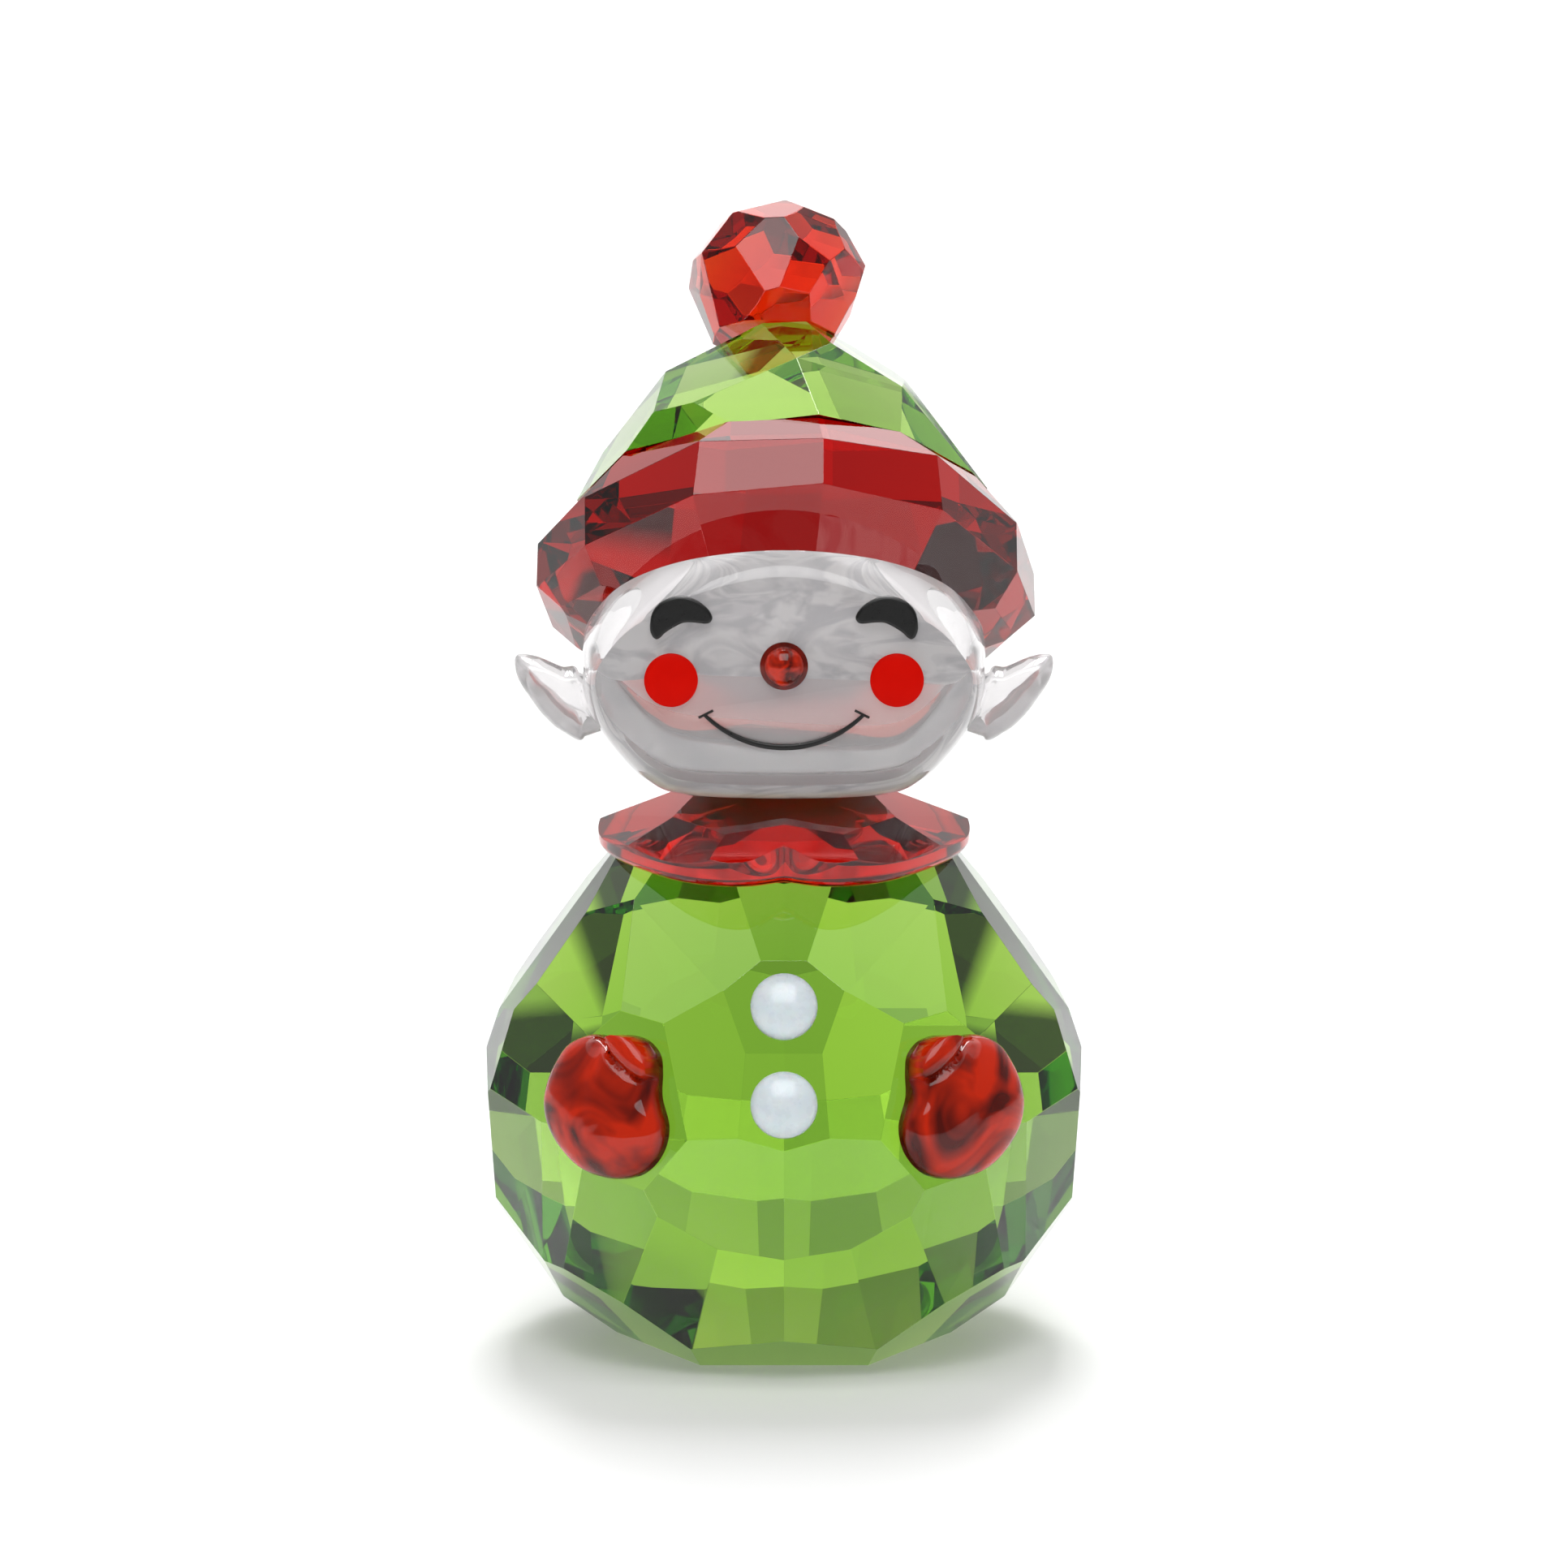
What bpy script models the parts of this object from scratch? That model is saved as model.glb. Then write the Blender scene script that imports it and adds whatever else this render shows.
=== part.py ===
"""Elf figurine made of cut glass stones glued together.

The body, collar, hat brim, hat cone and pompom are stones with flat polished facets. Each one is
listed as its lapidary would list it: a facet's azimuth, its tilt and its depth from the stone's heart.
The head, ears and mittens are smooth pressed glass, and the face and buttons are small glued pieces.

Metres, +Z up. The figure stands on Z = 0 and faces -Y. Azimuth 0 faces the front (-Y), and it grows
towards -X. A tilt of 0 is an upright facet, and a positive one looks upwards.
"""

from math import asin, cos, exp, pi, radians, sin, tan

import bmesh
import bpy
from mathutils import Matrix, Vector

MM = 0.001

# Units of the facets' depths and of the outlines' points
FACET_UNIT = 1.0 * MM
OUTLINE_UNIT = 1.0 * MM

# Rough stones: the cube's side for each depth of the deepest facet, and the smallest edge left on a stone
ROUGH_SHARE = 4.0
SMALLEST_EDGE = 0.01 * MM

# Fit between glued stones
GLUE_LINE = 0.06 * MM

# Edges flatter than this are shaded smooth on the pressed pieces
SMOOTH_ANGLE = 40.0

# Body
BODY_HEIGHT = 24.74 * MM
BODY_HEART_HEIGHT = 13.2 * MM

# Collar
COLLAR_HEIGHT = 3.38 * MM
COLLAR_RADIUS = 9.16 * MM
COLLAR_LOBE = 1.04 * MM
COLLAR_LOBE_AZIMUTH = 22.0
COLLAR_NOTCH = 0.8 * MM
COLLAR_NOTCH_AZIMUTH = 8.0

# Head
HEAD_WIDTH = 19.8 * MM
HEAD_HEIGHT = 14.2 * MM
HEAD_DEPTH = 14.0 * MM
HEAD_FRONT = 7.9 * MM
FACE_TILT = 6.0
FACE_PANEL_WIDTH = 18.5 * MM
FACE_PANEL_TOP = 11.6 * MM
FACE_PANEL_BOTTOM = 2.3 * MM
HEAD_ROUNDING = 6.0 * MM

# Hat
HAT_LEAN = 36.0
HAT_SPIN = 8.5
HAT_SHIFT = 0.1 * MM
HAT_SEAT_SETBACK = 4.0 * MM
HAT_SEAT_HEIGHT = 5.35 * MM
BRIM_BELOW_RIM = 2.99 * MM
BRIM_ABOVE_RIM = 5.03 * MM
CONE_HEIGHT = 8.64 * MM
POMPOM_FLAT = 3.38 * MM
POMPOM_SHIFT = -0.45 * MM

# Ears
EAR_THICKNESS = 3.6 * MM
EAR_SETBACK = 6.9 * MM
EAR_ROOT_BOTTOM = 2.7 * MM
EAR_ROOT_TOP = 5.35 * MM
EAR_HEART_REACH = 0.6 * MM
EAR_SWEEP = 85.5

# Mittens and buttons
MITTEN_THICKNESS = 2.0 * MM
MITTEN_SWEEP = 82.8
MITTEN_FULLNESS = 0.6
BUTTON_RADIUS = 1.65 * MM
BUTTON_RISE = 0.95 * MM
UPPER_BUTTON_PLACE = 0.79 * MM
LOWER_BUTTON_PLACE = -3.17 * MM

# Face
NOSE_RADIUS = 1.18 * MM
NOSE_RISE = 1.0 * MM
NOSE_HEIGHT = 7.35 * MM
CHEEK_RADIUS = 1.32 * MM
CHEEK_RISE = 0.35 * MM
CHEEK_HEIGHT = 6.65 * MM
CHEEK_SPREAD = 5.54 * MM
EYE_THICKNESS = 0.5 * MM
EYE_HEIGHT = 9.75 * MM
EYE_SPREAD = 5.0 * MM
MOUTH_THICKNESS = 0.2 * MM
MOUTH_HALF_WIDTH = 3.9 * MM
MOUTH_DROP = 1.6 * MM
MOUTH_HEIGHT = 4.95 * MM
MOUTH_LINE = 0.27 * MM
MOUTH_TAPER = 0.4
TICK_LENGTH = 0.8 * MM
TICK_BELOW = 0.4
TICK_LINE = 0.12 * MM
TICK_RISE = 27.0

# Facets as (name, azimuth, tilt, depth in facet units). These are cut on the left and on the right of
# their stone, and those of the body and the brim on its back too, except the brim's side facets.
BODY_FACETS = [
    ("front_crown", 0.0, 52.2, 13.41),
    ("upper_button_flat", 0.0, 23.7, 13.57),
    ("lower_button_flat", 0.0, 19.9, 13.64),
    ("front_skirt", 7.4, -7.3, 14.49),
    ("front_keel", 11.2, -31.1, 14.87),
    ("keel", 20.5, -28.5, 14.88),
    ("skirt", 37.6, -19.7, 14.93),
    ("front_waist", 9.3, 20.4, 13.76),
    ("shoulder_front", 27.9, 42.3, 13.40),
    ("shoulder_top", 25.8, 44.4, 13.35),
    ("mitten_flat", 32.4, 13.1, 14.07),
    ("shoulder_side", 55.7, 33.2, 13.55),
    ("shoulder_rim", 63.8, 45.7, 13.80),
    ("side_upper", 59.8, 18.9, 13.87),
    ("side_lower", 62.6, -8.7, 14.57),
    ("side_edge", 57.0, -10.2, 14.68),
    ("side_keel", 77.6, -33.8, 15.18),
    ("flank_top", 86.7, 35.2, 13.35),
    ("flank", 82.0, 17.8, 14.25),
    ("belt", 90.0, -3.9, 14.57),
]
BODY_BASE_FACETS = [
    ("front_base", 0.0, -61.7, 14.85),
    ("side_base", 58.7, -50.8, 14.70),
]
COLLAR_FACETS = [
    ("front_slope", 0.0, 57.5, 6.32),
    ("middle_slope", 51.8, 58.3, 5.82),
    ("side_slope", 80.0, 60.3, 5.17),
    ("front_top", 46.0, 81.9, 3.41),
    ("side_top", 90.0, 69.0, 4.23),
    ("back_slope", 130.0, 63.7, 4.33),
    ("back", 180.0, 62.0, 5.2),
]
BRIM_FACETS = [
    ("front_band", 16.0, -1.3, 11.84),
    ("middle_band", 50.2, 2.6, 11.53),
    ("side_band", 71.8, 1.4, 11.82),
    ("front_under", 14.0, -42.6, 8.33),
    ("middle_under", 45.4, -42.4, 8.43),
    ("front_top", 14.3, 44.1, 10.79),
    ("middle_top", 54.6, 36.0, 10.86),
    ("side_top", 77.7, 40.0, 10.54),
    ("top_corner", 47.4, 50.7, 9.91),
]
BRIM_SIDE_FACETS = [
    ("side_under", 70.2, -38.7, 9.38),
    ("back_side_under", 105.1, -44.7, 8.76),
]
BRIM_BEVEL_COUNT = 12
BRIM_BEVEL_TILT = -65.0
BRIM_BEVEL_DEPTH = 6.06

# The cone and the pompom aren't symmetric: an azimuth above 0 is on the viewer's left. Their backs
# mirror their fronts, except at the cone's side facets.
CONE_FACETS = [
    ("front_left", 24.3, 18.9, 10.94),
    ("front_right", -20.1, 27.7, 11.34),
    ("middle_left", 40.6, -2.1, 9.22),
    ("middle_right", -46.0, 18.4, 10.63),
    ("side_right", -60.7, 33.5, 11.02),
    ("flank_right", -90.0, 30.0, 10.88),
    ("upper_left", 40.2, 45.2, 11.48),
    ("upper_right", -20.7, 33.4, 11.65),
    ("far_right", -44.2, 49.5, 11.89),
    ("front_crown", 14.4, 53.7, 12.40),
]
CONE_SIDE_FACETS = [
    ("side_left", 76.6, 28.3, 10.88),
    ("back_side_left", 118.5, 12.4, 10.59),
    ("back_crown_left", 118.5, 58.1, 11.83),
]
POMPOM_FACETS = [
    ("front", 16.7, -12.2, 4.01),
    ("front_right", -0.8, -18.5, 4.17),
    ("under_front", 5.2, -48.0, 4.08),
    ("front_left", 41.7, -24.4, 3.97),
    ("upper_right", -19.6, 12.6, 4.29),
    ("under_left", 14.8, -49.5, 4.17),
    ("crown_right", -23.3, 26.5, 4.30),
    ("crown", 15.2, 47.8, 3.91),
    ("upper_left", 39.8, 13.8, 4.22),
    ("side_top", 77.6, 32.8, 3.81),
    ("side", 90.1, -10.7, 4.03),
    ("side_under", 95.3, -18.5, 4.04),
    ("right", -51.3, -20.5, 4.17),
    ("under_right", -42.9, -32.7, 4.11),
    ("side_crown_right", -57.5, 20.4, 4.15),
    ("far_right_under", -85.2, -28.5, 4.10),
    ("far_right", -60.4, 11.7, 4.31),
    ("flank_right", -88.5, -16.0, 4.03),
    ("side_crown", 69.4, 48.9, 3.84),
    ("top_left", 40.7, 63.4, 3.60),
    ("top_right", -36.6, 59.0, 3.70),
    ("high_right", -60.2, 40.6, 4.03),
    ("shoulder_right", -69.1, 26.9, 4.10),
]
POMPOM_TOP_DEPTH = 3.7

# Outlines in outline units, as points of a smooth closed curve
HEAD_HALF_OUTLINE = [
    (0.0, 13.95),
    (4.3, 12.85),
    (7.85, 10.45),
    (9.6, 7.8),
    (9.95, 5.9),
    (9.4, 3.8),
    (8.35, 2.2),
    (6.9, 0.75),
    (4.9, -0.05),
    (0.0, -0.25),
]
EAR_OUTLINE = [
    (0.2, 5.45),
    (1.1, 5.75),
    (2.3, 6.25),
    (3.2, 6.35),
    (3.35, 5.85),
    (3.15, 5.1),
    (2.6, 4.25),
    (1.9, 3.35),
    (1.0, 2.6),
    (-0.1, 2.35),
]
MITTEN_OUTLINE = [
    (3.35, 0.65),
    (2.2, 1.2),
    (1.1, 1.15),
    (0.3, 1.4),
    (-0.75, 1.25),
    (-1.5, 0.65),
    (-1.75, -0.2),
    (-1.9, -1.4),
    (-2.5, -2.8),
    (-2.35, -4.1),
    (-1.55, -5.15),
    (-0.3, -5.65),
    (1.05, -5.65),
    (2.2, -5.3),
    (3.3, -4.5),
    (4.1, -3.5),
    (4.45, -2.4),
    (4.35, -1.25),
    (3.95, -0.2),
]
EYE_OUTLINE = [
    (-1.57, -0.5),
    (-1.47, 0.2),
    (-1.1, 0.7),
    (-0.55, 0.98),
    (0.05, 1.05),
    (0.65, 0.88),
    (1.2, 0.5),
    (1.47, 0.1),
    (1.45, -0.15),
    (1.2, -0.3),
    (0.45, -0.24),
    (-0.05, -0.3),
    (-0.75, -0.7),
    (-1.05, -0.98),
    (-1.25, -1.07),
    (-1.45, -0.92),
]

# Finishes as (colour, roughness)
FINISHES = {
    "green_glass": ((0.30, 0.56, 0.06), 0.03),
    "red_glass": ((0.62, 0.03, 0.01), 0.03),
    "clear_glass": ((0.80, 0.79, 0.80), 0.03),
    "white_enamel": ((0.72, 0.80, 0.86), 0.15),
    "red_enamel": ((0.62, 0.01, 0.005), 0.35),
    "black_enamel": ((0.01, 0.01, 0.01), 0.2),
}


def clear_scene():
    for obj in list(bpy.data.objects):
        bpy.data.objects.remove(obj, do_unlink=True)


def new_collection(name):
    collection = bpy.data.collections.new(name)
    bpy.context.scene.collection.children.link(collection)
    return collection


def new_material(name, finish):
    colour, roughness = FINISHES[finish]
    material = bpy.data.materials.new(name)
    material.use_nodes = True
    shader = material.node_tree.nodes["Principled BSDF"]
    shader.inputs["Base Color"].default_value = (*colour, 1.0)
    shader.inputs["Roughness"].default_value = roughness
    material.diffuse_color = (*colour, 1.0)
    return material


def make_object(name, bm, finish, collection, smooth=False):
    """Turn a bmesh in world metres into a named object with its own material."""
    bmesh.ops.recalc_face_normals(bm, faces=bm.faces)
    mesh = bpy.data.meshes.new(name)
    bm.to_mesh(mesh)
    bm.free()
    if smooth:
        mesh.shade_smooth()
        mesh.set_sharp_from_angle(angle=radians(SMOOTH_ANGLE))
    mesh.materials.append(new_material(name + "_finish", finish))
    obj = bpy.data.objects.new(name, mesh)
    collection.objects.link(obj)
    return obj


def facet_normal(azimuth, tilt):
    a = radians(azimuth)
    t = radians(tilt)
    return Vector((-sin(a) * cos(t), -cos(a) * cos(t), sin(t)))


def both_sides(facets):
    """Repeat each facet on the other side of the stone, unless it lies on the middle."""
    cuts = []
    for _, azimuth, tilt, depth in facets:
        cuts.append((azimuth, tilt, depth))
        if azimuth % 180.0:
            cuts.append((-azimuth, tilt, depth))
    return cuts


def front_and_back(cuts):
    """Repeat each cut on the back of the stone, which mirrors the front."""
    return cuts + [(180.0 - azimuth, tilt, depth) for azimuth, tilt, depth in cuts]


def cut_away(bm, point, normal):
    """Grind away what lies outside a plane and close the cut with one flat face."""
    geometry = bm.verts[:] + bm.edges[:] + bm.faces[:]
    result = bmesh.ops.bisect_plane(
        bm, geom=geometry, dist=1e-8, plane_co=point, plane_no=normal, clear_outer=True
    )
    rim = [item for item in result["geom_cut"] if isinstance(item, bmesh.types.BMEdge)]
    rim = [edge for edge in rim if edge.is_boundary]
    if rim:
        bmesh.ops.edgeloop_fill(bm, edges=rim)


def cut_facets(bm, cuts):
    for azimuth, tilt, depth in cuts:
        normal = facet_normal(azimuth, tilt)
        cut_away(bm, normal * depth * FACET_UNIT, normal)


def cut_stone(cuts):
    """A rough cube about the stone's heart, ground flat along each cut."""
    deepest = max(depth for _, _, depth in cuts) * FACET_UNIT
    bm = bmesh.new()
    bmesh.ops.create_cube(bm, size=ROUGH_SHARE * deepest)
    cut_facets(bm, cuts)
    return bm


def finish_stone(bm):
    """Drop the slivers that meeting facets leave."""
    bmesh.ops.remove_doubles(bm, verts=bm.verts, dist=SMALLEST_EDGE)
    bmesh.ops.dissolve_degenerate(bm, edges=bm.edges, dist=SMALLEST_EDGE / 2)


def smooth_curve(points, steps):
    """A closed Catmull-Rom curve through the points, with some steps from each to the next."""
    count = len(points)
    curve = []
    for i in range(count):
        before, start, end, after = (Vector(points[(i + k - 1) % count]) for k in range(4))
        bend = 2 * before - 5 * start + 4 * end - after
        twist = 3 * start - before - 3 * end + after
        for step in range(steps):
            t = step / steps
            point = start + ((end - before) * t + bend * t ** 2 + twist * t ** 3) / 2
            curve.append(tuple(point))
    return curve


def loft(sections):
    """Skin a closed body over sections of equally many world points."""
    bm = bmesh.new()
    rings = [[bm.verts.new(point) for point in section] for section in sections]
    for lower, upper in zip(rings, rings[1:]):
        for i in range(len(lower)):
            j = (i + 1) % len(lower)
            bm.faces.new((lower[i], lower[j], upper[j], upper[i]))
    bm.faces.new(rings[0][::-1])
    bm.faces.new(rings[-1])
    return bm


def seat_frame(point, azimuth, tilt):
    """A flat's own frame: X to the viewer's right along it, Y up along it, Z out of it."""
    a = radians(azimuth)
    out = facet_normal(azimuth, tilt)
    side = Vector((cos(a), -sin(a), 0.0))
    up = out.cross(side)
    frame = Matrix((side, up, out)).transposed().to_4x4()
    frame.translation = point
    return frame


def body_flat(name):
    """The frame of one of the body's flats, at the foot of the line from the heart."""
    facet = next(item for item in BODY_FACETS if item[0] == name)
    _, azimuth, tilt, depth = facet
    heart = Vector((0.0, 0.0, BODY_HEART_HEIGHT))
    return seat_frame(heart + facet_normal(azimuth, tilt) * depth * FACET_UNIT, azimuth, tilt)


def outline_solid(points, thickness, frame):
    """A flat outline given thickness by a filled 2D curve, then placed in the frame."""
    curve = bpy.data.curves.new("outline", "CURVE")
    curve.dimensions = "2D"
    curve.fill_mode = "BOTH"
    curve.extrude = thickness / 2
    spline = curve.splines.new("POLY")
    spline.points.add(len(points) - 1)
    for target, (x, y) in zip(spline.points, points):
        target.co = (x, y, 0.0, 1.0)
    spline.use_cyclic_u = True
    guide = bpy.data.objects.new("outline", curve)
    bpy.context.scene.collection.objects.link(guide)
    graph = bpy.context.evaluated_depsgraph_get()
    mesh = bpy.data.meshes.new_from_object(guide.evaluated_get(graph))
    bm = bmesh.new()
    bm.from_mesh(mesh)
    bpy.data.objects.remove(guide, do_unlink=True)
    bpy.data.curves.remove(curve)
    bpy.data.meshes.remove(mesh)
    bmesh.ops.remove_doubles(bm, verts=bm.verts, dist=SMALLEST_EDGE / 10)
    bmesh.ops.translate(bm, verts=bm.verts, vec=(0.0, 0.0, thickness / 2))
    bm.transform(frame)
    return bm


def dome(radius, rise, frame, segments=24, rings=6):
    """A low ball cap that stands on a flat, with a short upright rim."""
    bm = bmesh.new()
    bmesh.ops.create_uvsphere(bm, u_segments=segments, v_segments=2 * rings, radius=1.0)
    cut_away(bm, Vector((0.0, 0.0, 0.0)), Vector((0.0, 0.0, -1.0)))
    bmesh.ops.scale(bm, vec=(radius, radius, rise), verts=bm.verts)
    bm.transform(frame)
    return bm


def mirrored(bm):
    """Turn a left piece into the right one."""
    bmesh.ops.scale(bm, vec=(-1.0, 1.0, 1.0), verts=bm.verts)
    bmesh.ops.reverse_faces(bm, faces=bm.faces)
    return bm


def make_body(collection):
    cuts = front_and_back(both_sides(BODY_FACETS + BODY_BASE_FACETS))
    bm = cut_stone(cuts)
    bmesh.ops.translate(bm, verts=bm.verts, vec=(0.0, 0.0, BODY_HEART_HEIGHT))
    cut_away(bm, Vector((0.0, 0.0, BODY_HEIGHT)), Vector((0.0, 0.0, 1.0)))
    cut_away(bm, Vector((0.0, 0.0, 0.0)), Vector((0.0, 0.0, -1.0)))
    finish_stone(bm)
    make_object("body", bm, "green_glass", collection)


def collar_outline(steps=72):
    """A round ruff with a soft lobe on each side of a notch at the front."""
    points = []
    for step in range(steps):
        turn = 360.0 * step / steps
        azimuth = (turn + 180.0) % 360.0 - 180.0
        lobe = exp(-((abs(azimuth) / COLLAR_LOBE_AZIMUTH - 1.0) ** 2))
        notch = exp(-((azimuth / COLLAR_NOTCH_AZIMUTH) ** 2))
        radius = COLLAR_RADIUS + COLLAR_LOBE * lobe - COLLAR_NOTCH * notch
        points.append((-radius * sin(radians(azimuth)), -radius * cos(radians(azimuth))))
    return points


def collar_base():
    return BODY_HEIGHT + GLUE_LINE


def head_base():
    return collar_base() + COLLAR_HEIGHT + GLUE_LINE


def make_collar(collection):
    bm = outline_solid(collar_outline(), COLLAR_HEIGHT, Matrix.Identity(4))
    cut_facets(bm, both_sides(COLLAR_FACETS))
    bmesh.ops.translate(bm, verts=bm.verts, vec=(0.0, 0.0, collar_base()))
    finish_stone(bm)
    make_object("collar", bm, "red_glass", collection)


def face_plane_y(height):
    """Depth of the face panel at a height above the head's base."""
    middle = (FACE_PANEL_TOP + FACE_PANEL_BOTTOM) / 2
    return -HEAD_FRONT + (height - middle) * tan(radians(FACE_TILT))


def hat_axis():
    return Vector((0.0, sin(radians(HAT_LEAN)), cos(radians(HAT_LEAN))))


def hat_seat():
    """The middle of the flat that the head and the hat share."""
    return Vector((HAT_SHIFT, HAT_SEAT_SETBACK, head_base() + HAT_SEAT_HEIGHT))


def hat_frame(along):
    """The hat's frame at a distance along its axis from the seat, leaning back and turned a little."""
    lean = Matrix.Rotation(-radians(HAT_LEAN), 4, "X")
    spin = Matrix.Rotation(radians(HAT_SPIN), 4, "Z")
    return Matrix.Translation(hat_seat() + hat_axis() * along) @ lean @ spin


def head_outline(steps):
    """The head's widest outline, clockwise from its top, with heights above its base."""
    half = HEAD_HALF_OUTLINE
    left = [(-x, z) for x, z in half[1:-1]][::-1]
    wide = HEAD_WIDTH / max(x for x, z in half) / 2
    tall = HEAD_HEIGHT / (half[0][1] - half[-1][1])
    return [(x * wide, z * tall) for x, z in smooth_curve(half + left, steps)]


def head_sections(steps, rounds):
    """Rings from the face panel round to the back panel, all in world metres."""
    outline = head_outline(steps)
    top = outline[0][1]
    bottom = outline[len(outline) // 2][1]
    narrow = FACE_PANEL_WIDTH / HEAD_WIDTH
    squeeze = (FACE_PANEL_TOP - FACE_PANEL_BOTTOM) / (top - bottom)
    centre = (FACE_PANEL_TOP - top * squeeze) / (1.0 - squeeze)
    front = [pi / 2 * k / rounds for k in range(rounds + 1)]
    back = [pi - angle for angle in reversed(front)]
    sections = []
    for angle in front + back:
        inset = 1.0 - sin(angle)
        away = HEAD_ROUNDING * (1.0 - cos(angle))
        if angle > pi / 2:
            away = HEAD_DEPTH - HEAD_ROUNDING * (1.0 + cos(angle))
        ring = []
        for x, z in outline:
            across = x * (1.0 - (1.0 - narrow) * inset)
            height = centre + (z - centre) * (1.0 - (1.0 - squeeze) * inset)
            ring.append(Vector((across, face_plane_y(height) + away, head_base() + height)))
        sections.append(ring)
    return sections


def make_head(collection):
    bm = loft(head_sections(steps=3, rounds=5))
    cut_away(bm, Vector((0.0, 0.0, head_base())), Vector((0.0, 0.0, -1.0)))
    cut_away(bm, hat_seat(), hat_axis())
    finish_stone(bm)
    make_object("head", bm, "clear_glass", collection, smooth=True)


def make_brim(collection):
    bevels = [
        (360.0 * (k + 0.5) / BRIM_BEVEL_COUNT, BRIM_BEVEL_TILT, BRIM_BEVEL_DEPTH)
        for k in range(BRIM_BEVEL_COUNT)
    ]
    cuts = front_and_back(both_sides(BRIM_FACETS)) + both_sides(BRIM_SIDE_FACETS) + bevels
    bm = cut_stone(cuts)
    cut_away(bm, Vector((0.0, 0.0, BRIM_ABOVE_RIM)), Vector((0.0, 0.0, 1.0)))
    cut_away(bm, Vector((0.0, 0.0, -BRIM_BELOW_RIM)), Vector((0.0, 0.0, -1.0)))
    bm.transform(hat_frame(GLUE_LINE + BRIM_BELOW_RIM))
    finish_stone(bm)
    make_object("hat_brim", bm, "red_glass", collection)


def make_cone(collection):
    cuts = front_and_back([facet[1:] for facet in CONE_FACETS])
    cuts += [facet[1:] for facet in CONE_SIDE_FACETS]
    bm = cut_stone(cuts)
    base = BRIM_ABOVE_RIM + GLUE_LINE
    cut_away(bm, Vector((0.0, 0.0, base + CONE_HEIGHT)), Vector((0.0, 0.0, 1.0)))
    cut_away(bm, Vector((0.0, 0.0, base)), Vector((0.0, 0.0, -1.0)))
    bm.transform(hat_frame(GLUE_LINE + BRIM_BELOW_RIM))
    finish_stone(bm)
    make_object("hat_cone", bm, "green_glass", collection)


def make_pompom(collection):
    cuts = front_and_back([facet[1:] for facet in POMPOM_FACETS])
    cuts.append((0.0, 90.0, POMPOM_TOP_DEPTH))
    bm = cut_stone(cuts)
    cut_away(bm, Vector((0.0, 0.0, -POMPOM_FLAT)), Vector((0.0, 0.0, -1.0)))
    cone_top = GLUE_LINE + BRIM_BELOW_RIM + BRIM_ABOVE_RIM + GLUE_LINE + CONE_HEIGHT
    aside = Matrix.Translation((POMPOM_SHIFT, 0.0, 0.0))
    bm.transform(aside @ hat_frame(cone_top + GLUE_LINE + POMPOM_FLAT))
    finish_stone(bm)
    make_object("pompom", bm, "red_glass", collection)


def head_half_width(height):
    """How far the head's widest outline reaches to one side at a height above its base."""
    outline = head_outline(8)
    tall = len(outline) // 2
    for (x0, z0), (x1, z1) in zip(outline[:tall], outline[1:tall]):
        if z1 <= height <= z0:
            return x0 + (x1 - x0) * (z0 - height) / (z0 - z1)
    return HEAD_WIDTH / 2


def ear_sections(steps=3, rounds=4, root_steps=4):
    """Rings of a pointed leaf with round faces, on the viewer's left, its root along the head's side."""
    leaf = smooth_curve(EAR_OUTLINE, steps)[: (len(EAR_OUTLINE) - 1) * steps + 1]
    outline = [(-HEAD_WIDTH / 2 - x * OUTLINE_UNIT, z * OUTLINE_UNIT) for x, z in leaf]
    for k in range(root_steps + 1):
        height = EAR_ROOT_BOTTOM + (EAR_ROOT_TOP - EAR_ROOT_BOTTOM) * k / root_steps
        outline.append((-head_half_width(height) - GLUE_LINE, height))
    middle = (EAR_ROOT_BOTTOM + EAR_ROOT_TOP) / 2
    heart = Vector((-head_half_width(middle) - EAR_HEART_REACH, middle))
    sections = []
    for k in range(-rounds, rounds + 1):
        angle = radians(EAR_SWEEP) * k / rounds
        ring = []
        for point in outline:
            x, z = heart + (Vector(point) - heart) * cos(angle)
            y = face_plane_y(z) + EAR_SETBACK + EAR_THICKNESS / 2 * sin(angle)
            ring.append(Vector((x, y, head_base() + z)))
        sections.append(ring)
    return sections


def make_ears(collection):
    make_object("ear_left", loft(ear_sections()), "clear_glass", collection, smooth=True)
    right = mirrored(loft(ear_sections()))
    make_object("ear_right", right, "clear_glass", collection, smooth=True)


def mitten_sections(steps=2, rounds=6):
    """Rings of a domed mitten that stands on its flat, from the flat out to its crown."""
    frame = body_flat("mitten_flat") @ Matrix.Translation((0.0, 0.0, GLUE_LINE))
    points = [(-x * OUTLINE_UNIT, y * OUTLINE_UNIT) for x, y in MITTEN_OUTLINE]
    outline = smooth_curve(points, steps)
    cx = sum(x for x, y in outline) / len(outline)
    cy = sum(y for x, y in outline) / len(outline)
    sections = []
    for k in range(rounds + 1):
        angle = radians(MITTEN_SWEEP) * k / rounds
        inset = cos(angle) ** MITTEN_FULLNESS
        height = MITTEN_THICKNESS * sin(angle)
        ring = []
        for x, y in outline:
            at = Vector((cx + (x - cx) * inset, cy + (y - cy) * inset, height))
            ring.append(frame @ at)
        sections.append(ring)
    return sections


def make_mittens(collection):
    make_object("mitten_left", loft(mitten_sections()), "red_glass", collection, smooth=True)
    right = mirrored(loft(mitten_sections()))
    make_object("mitten_right", right, "red_glass", collection, smooth=True)


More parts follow.
